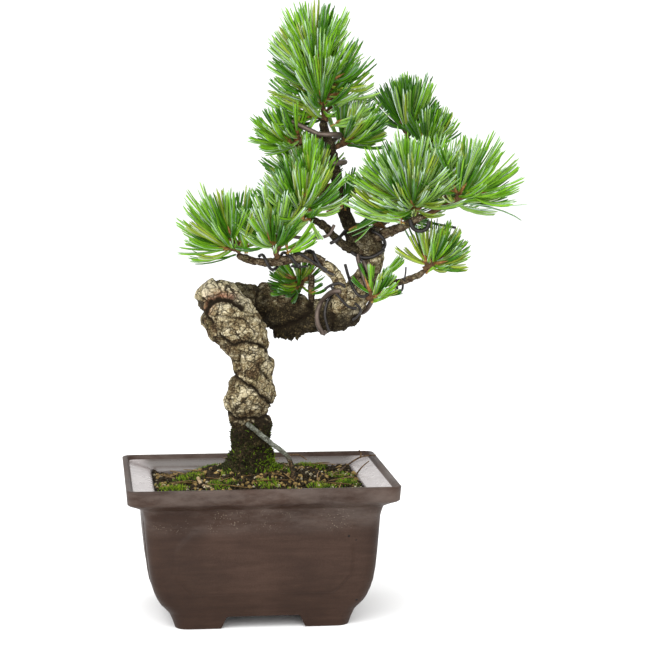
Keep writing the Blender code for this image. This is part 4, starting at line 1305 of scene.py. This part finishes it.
def fallen_needles():
    """Rows of dry needles that lie on the soil."""
    chance = random.Random(f"{SEED} litter")
    rows = []
    while len(rows) < DRY_NEEDLES:
        x, y = chance.uniform(-50, 50), chance.uniform(-38, 38)
        turn, length = chance.uniform(0, FULL_TURN), chance.uniform(*DRY_NEEDLE_LENGTHS)
        way = Vector((math.cos(turn), math.sin(turn), chance.uniform(-0.02, 0.12)))
        start, end = Vector((x, y, 0)), Vector((x, y, 0)) + way * length
        inside = inside_pot(x, y, 1.5) and inside_pot(end.x, end.y, 1.5)
        if not inside or math.dist((x, y), SOIL_MIDDLE) < 14:
            continue
        below = [start.lerp(end, step / 4) for step in range(5)]
        start.z = max(ground(spot.x, spot.y) for spot in below) + 0.5
        bend = Vector((chance.gauss(0, 0.15), chance.gauss(0, 0.15), -0.1))
        rows.append((start, way, way + bend, Vector((0, 0, 1)), length, 0.6))
    return rows


def make_litter(soil_tree):
    """Roots, twigs and dry needles on the soil."""
    bark = rough_finish("root_bark", (0.03, 0.015, 0.007), (0.12, 0.075, 0.04), 600.0)
    pale = rough_finish("root_wood", (0.16, 0.1, 0.05), (0.34, 0.26, 0.16), 600.0)
    for name, radius, spots in ROOTS:
        line = laid_line(spots, radius, [soil_tree])
        radii = [radius * (1 - 0.5 * number / len(line)) for number in range(len(line))]
        belongs(tube_piece(name, line, radii, 8, pale if name == "root_pale" else bark), "soil")
    points, faces, kinds = needle_mesh(fallen_needles())
    looks = [rough_finish(f"dry_needle_{number}", *colours, 300.0, 0.6)
             for number, colours in enumerate(DRY_NEEDLE_COLOURS)]
    belongs(mesh_piece("dry_needles", points, faces, looks, face_materials=kinds, smooth=False), "soil")


def tube_piece(name, places, radii, sides, material):
    """A round tube along places, with flat ends."""
    frames = frames_along([(*place, radius) for place, radius in zip(places, radii)])
    piece = mesh_piece(name, tube_points(frames, sides), tube_faces(len(frames), sides), [material])
    piece.data.set_sharp_from_angle(angle=SHARP_ANGLE)
    return piece


# Over how many steps on each side a wound wire's distance from its limb is evened out
WIRE_EVENING = 8
# The first step of the trunk's wire that lies behind it. The arc in front follows spots of the photograph.
WIRE_BEHIND = 64


def wound_line(route, wire_radius, trees, steps):
    """The middle line of a wire wound round a limb, just clear of the limb's bark."""
    places = []
    smooth = smooth_route(route, steps)
    for point, (place, least, _, side, across) in zip(smooth, frames_along(smooth)):
        turn = math.radians(point[4])
        out = side * math.cos(turn) + across * math.sin(turn)
        away = least
        for tree in trees:
            hit = tree.ray_cast(place + out * 20, -out, 20)[0]
            if hit:
                away = max(away, (hit - place).length + wire_radius + 0.1)
        places.append((place, out, away))
    line = []
    for index, (place, out, _) in enumerate(places):
        near = places[max(0, index - WIRE_EVENING):index + WIRE_EVENING + 1]
        line.append(place + out * sum(item[2] for item in near) / len(near))
    return line


# Spots of the photograph along the arc of the trunk's wire
WIRE_ARC = ((341, 291), (332, 292), (323, 300), (317.5, 312), (318, 324), (323, 334))
# The name, the radius and the spots of the photograph for each shorter piece of wire. Two are brown.
BROWN_PIECES = ("column_flat", "left_mid_end")
LAID_WIRES = (
    ("strand_by_trunk_wire", 0.8, ((333, 293), (327, 303), (325, 316), (329, 331))),
    ("column_flat", 1.2, ((357, 254), (359, 263), (363, 276), (368, 290))),
    ("column_dark", 0.85, ((360, 255), (365, 267), (370, 276), (374, 283))),
    ("knot_band", 0.95, ((351, 252), (360, 257), (372, 257), (384, 250))),
    ("knot_arc", 1.0, ((373, 231), (381, 236), (385, 244), (381, 252))),
    ("left_mid_end", 0.95, ((293.6, 236.8), (306, 238.2), (319, 237.8), (328.7, 234.6), (334, 225.5))),
    ("left_mid_turn", 0.95, ((331, 243), (338, 239), (345, 231))),
    ("left_turn_outer", 0.75, ((295, 252), (304, 256), (315, 263), (327, 270))),
    ("left_turn_inner", 0.75, ((313, 251), (317, 260), (324, 270), (334, 275))),
    ("left_under", 0.7, ((291, 266), (299, 267), (308, 266))),
    ("fork_long", 0.85, ((345, 264), (349.7, 280), (356.3, 293), (363.8, 296.5), (376, 290))),
    ("fork_hook", 0.75, ((324.8, 289), (332.4, 284.6), (340, 283.5), (345, 287))),
    ("fork_grey", 0.75, ((330, 284.6), (336.7, 294), (347.6, 306), (356, 308.4))),
    ("fork_curl", 0.75, ((355, 303), (360.6, 309.5), (357.3, 316), (352, 320))),
    ("right_low_spike", 0.45, ((406, 267), (405.4, 274), (404, 281))),
    ("right_low_turn", 0.65, ((386, 278), (390, 284), (394, 288))),
    ("right_low_loop", 0.65, ((397, 285), (398, 290.5), (402, 290), (403, 284))),
    ("right_pad_ring", 1.15, ((410, 220), (413, 228), (420, 231), (427, 228), (429, 221))),
    ("right_pad_end", 0.75, ((427, 222), (441, 225), (456, 227.8))),
)
# The share of its radius that a shorter piece is made with
LAID_THINNING = 0.88


def make_wires(trees):
    """The wire on the trunk, on the leader with its free end, on the left bough, and the shorter pieces."""
    finishes = {
        "brown_wire": wire_finish("brown_wire", (0.09, 0.066, 0.052), (0.24, 0.2, 0.165)),
        "dark_wire": wire_finish("dark_wire", (0.02, 0.017, 0.016), (0.085, 0.075, 0.068)),
    }
    rows = (
        ("wire_trunk", WIRE_TRUNK, 1.25, ("trunk_middle", "trunk_upper"), "brown_wire"),
        ("wire_leader", WIRE_LEADER, 1.25, ("leader",), "brown_wire"),
        ("wire_left_bough", WIRE_LEFT_BOUGH, 0.75, ("bough_left",), "dark_wire"),
    )
    for name, route, radius, carriers, slot in rows:
        line = wound_line(route, radius, [trees[carrier] for carrier in carriers], 22)
        if name == "wire_trunk":
            line = laid_line(WIRE_ARC, radius, trees.values()) + line[WIRE_BEHIND:]
        if name == "wire_leader":
            line += [line[-1].lerp(Vector(WIRE_FREE_END), share / 8) for share in range(1, 9)]
        belongs(tube_piece(name + "_round", line, [radius] * len(line), 14, finishes[slot]), slot, name)
    for name, radius, spots in LAID_WIRES:
        slot = "brown_wire" if name in BROWN_PIECES else "dark_wire"
        line = laid_line(spots, radius, trees.values())
        radii = [LAID_THINNING * radius] * len(line)
        belongs(tube_piece("wire_" + name, line, radii, 10, finishes[slot]), slot)


def lean_from(axis, degrees, turn):
    """A direction that lies some degrees off an axis, at a turn round it."""
    side = axis.orthogonal().normalized()
    across = axis.cross(side)
    off = math.radians(degrees)
    return axis * math.cos(off) + (side * math.cos(turn) + across * math.sin(turn)) * math.sin(off)


def stem_foot(mass):
    """Where a mass's stem starts: just clear of the spot on its limb that lies nearest to its heart."""
    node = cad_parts[mass.limb]
    heart = Vector(mass.heart)
    tree = BVHTree.FromPolygons([vertex.co for vertex in node.data.vertices],
                                [tuple(face.vertices) for face in node.data.polygons])
    nearest = (tree.find_nearest(heart * MM + POT_MIDDLE)[0] - POT_MIDDLE) / MM
    return nearest + (heart - nearest).normalized() * GAP


def shoots_of(mass, foot, chance):
    """The start and end of each shoot: the first ends the stem, the rest leave it lower down and wider."""
    middle = Vector(mass.lean).normalized()
    first_turn = chance.uniform(0, FULL_TURN)
    for number in range(mass.shoots):
        share = number / max(1, mass.shoots - 1)
        start = Vector(mass.heart).lerp(foot, mass.along * share)
        way = lean_from(middle, mass.fan * math.sqrt(share), first_turn + number * GOLDEN_ANGLE)
        way = (way + Vector((0, 0, UPWARD))).normalized()
        yield start, start + way * mass.shoot * chance.uniform(*SHOOT_LENGTHS)


BUNDLES_PER_SHOOT = 10
BUNDLES_PER_TWIG = 4
TWIGS_PER_SHOOT = 1
TWIG_SHARES = (0.15, 0.6)
TWIG_DEGREES = (32, 55)
TWIG_LENGTHS = (0.5, 0.85)
SHORTEST_TWIG = 4.0
NEEDLES_PER_BUNDLE = 5
BUNDLE_SPREAD = (1.5, 6.0)
EXTRA_LENGTH = 2.0
BEND_UP = (0.35, 0.95)
BEND_ALONG = (0.0, 0.35)
LOWEST_NEEDLE = -0.08
LIFT_SHARE = 0.8
# How thickly each mass is needled, the kind of spray that it has more of, and how much more
CROWDING = {
    "needles_apex": (1.1, "bright", 1.0),
    "needles_apex_right": (1.3, "deep", 2.0),
    "needles_upper_left": (0.9, "bright", 3.0),
    "needles_centre": (1.1, "bright", 1.0),
    "needles_left_mid": (1.2, "deep", 1.5),
    "needles_left_end": (0.8, "bright", 2.5),
    "needles_left_inner": (1.1, "pale", 2.0),
    "needles_low_back": (1.0, "deep", 2.0),
    "needles_right_pad": (1.5, "pale", 3.0),
    "needles_right_end": (0.75, "bright", 2.5),
    "needles_back_right": (1.0, "deep", 1.6),
    "needles_back_end": (1.0, "deep", 2.0),
    "needles_right_low": (0.75, "yellow", 2.0),
    "needles_low_tuft": (0.4, "bright", 1.0),
    "needles_back_left": (1.2, "deep", 3.0),
    "needles_back_low": (1.0, "deep", 3.0),
}
NEEDLE_RINGS = (0.0, 0.16, 0.36, 0.58, 0.8, 0.95)
NEEDLE_TAPER = (0.7, 0.95, 1.0, 1.0, 0.92, 0.7)
NEEDLE_WIDTH = 0.92
TWIG_ROUGHNESS = 0.22
# Lengths and radii of the sheaths and of the buds
SHEATH_SIZES = ((3.5, 6.0), (0.5, 0.75))
BUD_SIZES = ((5.0, 11.0), (1.0, 1.4))
# Each kind of spray: colours of a needle's outer face, of its duller inner face and of its bluish inner
# face, and how common it is on young and on old wood
NEEDLE_KINDS = {
    "bright": (((0.09, 0.24, 0.005), (0.17, 0.35, 0.018)), ((0.075, 0.2, 0.01), (0.14, 0.29, 0.03)),
               ((0.22, 0.38, 0.15), (0.38, 0.54, 0.34)), 0.4, 0.2),
    "deep": (((0.024, 0.1, 0.002), (0.055, 0.165, 0.006)), ((0.018, 0.075, 0.003), (0.044, 0.125, 0.008)),
             ((0.1, 0.2, 0.07), (0.19, 0.32, 0.17)), 0.26, 0.2),
    "pale": (((0.15, 0.29, 0.03), (0.23, 0.38, 0.08)), ((0.13, 0.25, 0.045), (0.2, 0.33, 0.1)),
             ((0.4, 0.53, 0.4), (0.56, 0.68, 0.6)), 0.22, 0.24),
    "yellow": (((0.17, 0.25, 0.015), (0.24, 0.32, 0.03)), ((0.13, 0.19, 0.02), (0.19, 0.26, 0.04)),
               ((0.34, 0.43, 0.2), (0.44, 0.53, 0.32)), 0.07, 0.3),
    "dry": (((0.11, 0.055, 0.018), (0.24, 0.13, 0.045)), ((0.09, 0.045, 0.015), (0.2, 0.11, 0.04)),
            ((0.16, 0.085, 0.03), (0.32, 0.19, 0.075)), 0.0, 0.0),
}

# Sprays that show by themselves: spots of the photograph at the base and the tip, depth, number of bundles,
# spread in degrees and kind
SPRAYS = (
    ((306, 183), (312, 137), -13, 8, 13, "bright"),
    ((405, 222), (347, 196), -26, 6, 11, "pale"),
    ((402, 220), (350, 183), -24, 5, 12, "yellow"),
    ((247, 253), (240, 204), -14, 6, 9, "bright"),
    ((376, 283), (396, 257), -9, 3, 13, "bright"),
    ((366, 304), (390, 290), -12, 2, 14, "bright"),
    ((331, 126), (377, 108), -8, 6, 12, "pale"),
    ((350, 232), (378, 214), -10, 3, 14, "deep"),
    ((424, 273), (463, 231), -16, 3, 9, "bright"),
    ((345, 212), (352, 170), 0, 5, 14, "deep"),
    ((308, 292), (326, 283), 6, 2, 20, "deep"),
    ((310, 219), (267, 234), -18, 6, 13, "pale"),
    ((309, 219), (262, 214), -19, 6, 13, "bright"),
    ((286, 254), (316, 226), -20, 5, 15, "bright"),
    ((288, 254), (278, 208), -20, 5, 15, "deep"),
    ((308, 220), (321, 239), -18, 2, 18, "pale"),
    ((408, 214), (370, 148), -16, 8, 13, "bright"),
    ((398, 205), (354, 166), -12, 6, 12, "bright"),
    ((389, 229), (371, 214), -4, 3, 20, "dry"),
    ((377, 233), (396, 226), -6, 3, 16, "dry"),
    ((320, 213), (343, 205), -14, 2, 14, "dry"),
    ((313, 62), (283, 11), -8, 4, 7, "bright"),
    ((315, 60), (297, 4), -10, 4, 7, "bright"),
    ((317, 58), (328, 6), -9, 4, 7, "deep"),
    ((319, 64), (342, 15), -9, 4, 8, "bright"),
    ((312, 78), (270, 38), -9, 4, 8, "pale"),
)
# Single needles: spots at the root, the middle and the tip, depth and kind
STRAYS = (
    (((468, 204), (500, 210), (522, 221)), -24, "deep"),
    (((468, 203), (500, 206), (529, 204)), -24, "pale"),
    (((470, 202), (494, 200), (508, 191)), -24, "yellow"),
    (((236, 254), (215, 262), (194, 264)), -12, "deep"),
    (((236, 254), (213, 258), (192, 250)), -11, "pale"),
    (((236, 255), (212, 259), (193, 253)), -13, "deep"),
    (((347, 233), (362, 227), (376, 219)), -12, "bright"),
    (((355, 242), (364, 234), (371, 225)), -12, "bright"),
    (((352, 236), (363, 231), (374, 225)), -12, "deep"),
)


class Foliage:
    """Gathers the needles, sheaths, buds and twigs of every mass."""

    def __init__(self, obstacles):
        self.obstacles = obstacles
        self.needles = {kind: [] for kind in NEEDLE_KINDS}
        self.sheaths = []
        self.buds = []
        self.twigs = []

    def blocked(self, root, point):
        """True where a straight line past the root meets a limb."""
        way = point - root
        reach = way.length
        start = root + way * 0.12
        return self.obstacles.ray_cast(start, way / reach, reach * 0.88)[0] is not None

    def grow_mass(self, mass):
        """Grows one mass: its stem and shoots by the rule for solids, then twigs, bundles and buds."""
        chance = random.Random(f"{SEED} {mass.name}")
        foot = stem_foot(mass)
        heart = Vector(mass.heart)
        self.twigs.append([(place, STEM_RADIUS) for place in (foot, foot.lerp(heart, 0.5), heart)])
        shoots = list(shoots_of(mass, foot, chance))
        bundles = round(BUNDLES_PER_SHOOT * CROWDING[mass.name][0])
        for start, end in shoots:
            self.grow_shoot(start, end, mass.needle, mass, bundles, chance)
            for _ in range(TWIGS_PER_SHOOT):
                self.grow_twig(start, end, mass, chance)

    def grow_twig(self, start, end, mass, chance):
        """A finer twig that leaves a shoot and bears shorter needles."""
        way = (end - start).normalized()
        root = start.lerp(end, chance.uniform(*TWIG_SHARES))
        twig_way = lean_from(way, chance.uniform(*TWIG_DEGREES), chance.uniform(0, FULL_TURN))
        twig_way = (twig_way + Vector((0, 0, UPWARD))).normalized()
        reach = max(SHORTEST_TWIG, (end - start).length * chance.uniform(*TWIG_LENGTHS))
        needle = mass.needle - reach * 0.5
        self.grow_shoot(root, root + twig_way * reach, needle, mass, BUNDLES_PER_TWIG, chance)

    def grow_shoot(self, start, end, needle, mass, bundles, chance):
        """One shoot: its wood, the bundles round it and the bud at its tip."""
        way = (end - start).normalized()
        reach = (end - start).length
        self.twigs.append([(start, SHOOT_RADII[0]), (start.lerp(end, 0.5), SHOOT_RADII[0] * 0.9),
                           (end, SHOOT_RADII[1])])
        self.buds.append((end, way))
        first_turn = chance.uniform(0, FULL_TURN)
        for number in range(bundles):
            share = (number + 0.5) / bundles
            root = start + way * reach * (0.1 + 0.95 * share)
            off = mass.spread * (1 - NEEDLE_CLOSING * share) * chance.uniform(0.85, 1.1)
            bundle_way = lean_from(way, off, first_turn + number * GOLDEN_ANGLE)
            bundle_way = (bundle_way + Vector((0, 0, UPWARD))).normalized()
            if bundle_way.z < LOWEST_NEEDLE:
                bundle_way.z += LIFT_SHARE * (LOWEST_NEEDLE - bundle_way.z)
                bundle_way.normalize()
            length = needle * chance.uniform(*NEEDLE_LENGTHS) * (0.92 + 0.08 * share) + EXTRA_LENGTH
            young = share * 0.8 + 0.2 * chance.random()
            kinds = list(NEEDLE_KINDS)
            _, favoured, more = CROWDING[mass.name]
            weights = [(on_young * young + on_old * (1 - young)) * (more if kind == favoured else 1.0)
                       for kind, (*_, on_young, on_old) in NEEDLE_KINDS.items()]
            self.grow_bundle(root, bundle_way, way, length, chance.choices(kinds, weights)[0], chance)

    def grow_bundle(self, root, bundle_way, shoot_way, length, kind, chance):
        """Five needles from one sheath: almost parallel, and bent together the way their shoot grows."""
        kept = 0
        level = math.sqrt(max(0.0, 1 - bundle_way.z ** 2))
        bend = shoot_way * chance.uniform(*BEND_ALONG) + Vector((0, 0, chance.uniform(*BEND_UP) * level))
        wander = Vector([chance.gauss(0, 0.07) for _ in range(3)])
        first = chance.uniform(0, FULL_TURN)
        for number in range(NEEDLES_PER_BUNDLE):
            turn = first + FULL_TURN * number / NEEDLES_PER_BUNDLE
            chord = lean_from(bundle_way, chance.uniform(*BUNDLE_SPREAD), turn)
            out = (chord - bundle_way * chord.dot(bundle_way)).normalized()
            own_bend = bend + wander + Vector([chance.gauss(0, 0.03) for _ in range(3)])
            way = (chord - own_bend / 2).normalized()
            end_way = (chord + own_bend / 2).normalized()
            long = length * chance.uniform(0.9, 1.0)
            point = root + (way + end_way) / 2 * long
            if self.blocked(root, point):
                continue
            width = NEEDLE_WIDTH * chance.uniform(0.85, 1.1)
            self.needles[kind].append((root, way, end_way, out, long, width))
            kept += 1
        if kept:
            self.sheaths.append((root, bundle_way))

    def grow_spray(self, base, tip, depth, bundles, spread, kind, chance):
        """A spray that the photograph shows by itself, from the spot of its base to the spot of its tip."""
        root, end = at_depth(base, depth), at_depth(tip, depth)
        way = (end - root).normalized()
        for number in range(bundles):
            bundle_way = lean_from(way, spread * math.sqrt((number + 0.5) / bundles), number * GOLDEN_ANGLE)
            start = root + Vector([chance.uniform(-1, 1) for _ in range(3)]) + way * chance.uniform(0, 5)
            length = (end - root).length * chance.uniform(0.8, 1.0)
            self.grow_bundle(start, bundle_way, way, length, kind, chance)

    def grow_stray(self, spots, depth, kind):
        """One needle through three spots of the photograph: its root, its middle and its tip."""
        root, middle, tip = (at_depth(spot, depth) for spot in spots)
        whole = tip - root
        way = (4 * (middle - root) - whole) / whole.length
        end_way = 2 * whole / whole.length - way
        out = Vector((0, -0.3, 1))
        self.needles[kind].append((root, way, end_way, out, whole.length, NEEDLE_WIDTH * 0.9))


def needle_mesh(rows):
    """Points, triangles and face kinds of needles: each has three sides, one of them the outer one."""
    roots, ways, end_ways, outs = (np.array([tuple(row[item]) for row in rows]) for item in range(4))
    lengths = np.array([row[4] for row in rows])[:, None, None]
    widths = np.array([row[5] for row in rows])[:, None, None]
    shares = np.array(NEEDLE_RINGS)[None, :, None]
    turn_ways = ways[:, None] + (end_ways - ways)[:, None] * shares
    forward = turn_ways / np.linalg.norm(turn_ways, axis=2, keepdims=True)
    bends = (end_ways - ways)[:, None] * shares ** 2 / 2
    middles = roots[:, None] + lengths * (ways[:, None] * shares + bends)
    out = outs[:, None] - forward * np.sum(outs[:, None] * forward, axis=2, keepdims=True)
    out /= np.linalg.norm(out, axis=2, keepdims=True)
    side = np.cross(forward, out)
    width = widths * np.array(NEEDLE_TAPER)[None, :, None]
    corners = np.stack([
        middles + out * width * 0.25 + side * width * 0.5,
        middles + out * width * 0.25 - side * width * 0.5,
        middles - out * width * 0.45,
    ], axis=2)
    count, rings = len(rows), len(NEEDLE_RINGS)
    tips = roots + (lengths[:, 0] * (ways + end_ways) / 2)
    points = np.concatenate([corners.reshape(count, rings * 3, 3), tips[:, None]], axis=1)
    faces, kinds = [(0, 1, 2)], [0]
    for ring in range(rings - 1):
        for number in range(3):
            a, b = ring * 3 + number, ring * 3 + (number + 1) % 3
            faces += [(b, a, a + 3), (b, a + 3, b + 3)]
            kinds += [number] * 2
    last, tip = (rings - 1) * 3, rings * 3
    for number in range(3):
        faces.append((last + (number + 1) % 3, last + number, tip))
        kinds.append(number)
    all_faces = np.array(faces)[None] + (np.arange(count) * (rings * 3 + 1))[:, None, None]
    return points.reshape(-1, 3), all_faces.reshape(-1, 3), np.tile(kinds, count)


def twig_mesh(twigs, sides=8, steps=5):
    """Points and triangles of every twig, each a smooth rough tube."""
    points, faces = [], []
    for rows in twigs:
        frames = frames_along(smooth_route([(*place, radius) for place, radius in rows], steps))
        faces += tube_faces(len(frames), sides, len(points))
        points += tube_points(frames, sides, TWIG_ROUGHNESS)
    return points, faces


def make_foliage(trees):
    """Every mass of needles, dealt out by spray into pieces of one colour, with twigs, sheaths and buds."""
    foliage = Foliage(BVHTree.FromPolygons(*joined_limbs(trees)))
    for mass in MASSES:
        foliage.grow_mass(mass)
    chance = random.Random(f"{SEED} sprays")
    for spray in SPRAYS:
        foliage.grow_spray(*spray, chance)
    for stray in STRAYS:
        foliage.grow_stray(*stray)
    for kind, rows in foliage.needles.items():
        name = "needles_" + kind
        points, faces, sides = needle_mesh(rows)
        materials = [needle_finish(f"{name}_face_{number}", *look)
                     for number, look in enumerate(NEEDLE_KINDS[kind][:3])]
        piece = mesh_piece(name, points, faces, materials, face_materials=sides, smooth=False)
        belongs(piece, "needles", *MASS_NAMES)
    bark = rough_finish("twig_bark", (0.035, 0.02, 0.01), (0.12, 0.065, 0.03), 700.0)
    belongs(mesh_piece("foliage_twigs", *twig_mesh(foliage.twigs), [bark]), "young_bark", *MASS_NAMES)
    draw = np.random.default_rng(SEED + 20)
    sheath = rough_finish("sheath", (0.14, 0.055, 0.014), (0.33, 0.19, 0.06), 500.0, 0.7)
    bud = rough_finish("bud", (0.15, 0.06, 0.018), (0.34, 0.18, 0.06), 600.0, 0.7)
    buds = [(tip - way, way) for tip, way in foliage.buds]
    for name, stems, sizes, sides, finish in (("sheaths", foliage.sheaths, SHEATH_SIZES, 5, sheath),
                                              ("buds", buds, BUD_SIZES, 8, bud)):
        belongs(cone_piece(name, stems, sizes, sides, finish, draw), "needles", *MASS_NAMES)


def joined_limbs(trees):
    """The points and faces of every limb's own node, in millimetres round the pot."""
    points, faces = [], []
    for name in trees:
        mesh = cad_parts[name].data
        first = len(points)
        points += [(vertex.co - POT_MIDDLE) / MM for vertex in mesh.vertices]
        faces += [tuple(first + corner for corner in face.vertices) for face in mesh.polygons]
    return points, faces


def make_camera():
    """The camera, where the photograph was taken from."""
    data = bpy.data.cameras.new("camera")
    data.lens = CAMERA_LENS
    data.sensor_width = SENSOR_WIDTH
    data.clip_start = 0.05
    data.clip_end = 50.0
    camera = scene_object("camera", data)
    camera.location = Vector(CAMERA_AT) * MM + POT_MIDDLE
    camera.rotation_euler = camera_turn().to_euler()
    bpy.context.scene.camera = camera


SURROUND = 1.2
# Each soft square lamp's name, place, aim, size and power
LAMPS = (
    ("key", (-0.5, -1.05, 1.2), (0.0, 0.0, 0.15), 2.2, 36.0),
    ("side", (-1.2, -0.7, 0.15), (0.0, 0.0, 0.06), 1.2, 6.0),
    ("front", (0.2, -1.6, 0.5), (0.0, 0.0, 0.12), 0.8, 7.0),
)


def make_light():
    """A white surround, a soft key light from the upper left, and weaker ones from left and front."""
    world = bpy.data.worlds.new("surround")
    bpy.context.scene.world = world
    world.use_nodes = True
    world.node_tree.nodes["Background"].inputs["Color"].default_value = (1.0, 1.0, 1.0, 1.0)
    world.node_tree.nodes["Background"].inputs["Strength"].default_value = SURROUND
    for name, place, aim, size, power in LAMPS:
        data = bpy.data.lights.new(name, "AREA")
        data.size = size
        data.energy = power
        lamp = scene_object(name, data)
        lamp.location = place
        lamp.rotation_euler = (Vector(aim) - Vector(place)).to_track_quat("-Z", "Y").to_euler()
    bpy.context.scene.view_settings.view_transform = "Standard"


FLOOR_REACH = 6000.0


def make_floor():
    """A pale plain floor."""
    finish = Finish("floor", 0.9, specular=0.1)
    finish.colour(finish.ramp(finish.noise(3.0, 2.0), (0.3, (0.9, 0.9, 0.9)), (0.7, (0.93, 0.93, 0.93))))
    corners = [(x * FLOOR_REACH, y * FLOOR_REACH, 0) for x, y in ((-1, -1), (1, -1), (1, 1), (-1, 1))]
    mesh_piece("floor", corners, [(0, 1, 2, 3)], [finish.material], smooth=False)


def main():
    """Makes every piece."""
    make_camera()
    make_light()
    make_floor()
    make_pot()
    soil_tree = make_soil()
    make_grains()
    make_litter(soil_tree)
    trees = make_limbs()
    make_moss(trees["trunk_lower"])
    make_wires(trees)
    make_foliage(trees)


main()
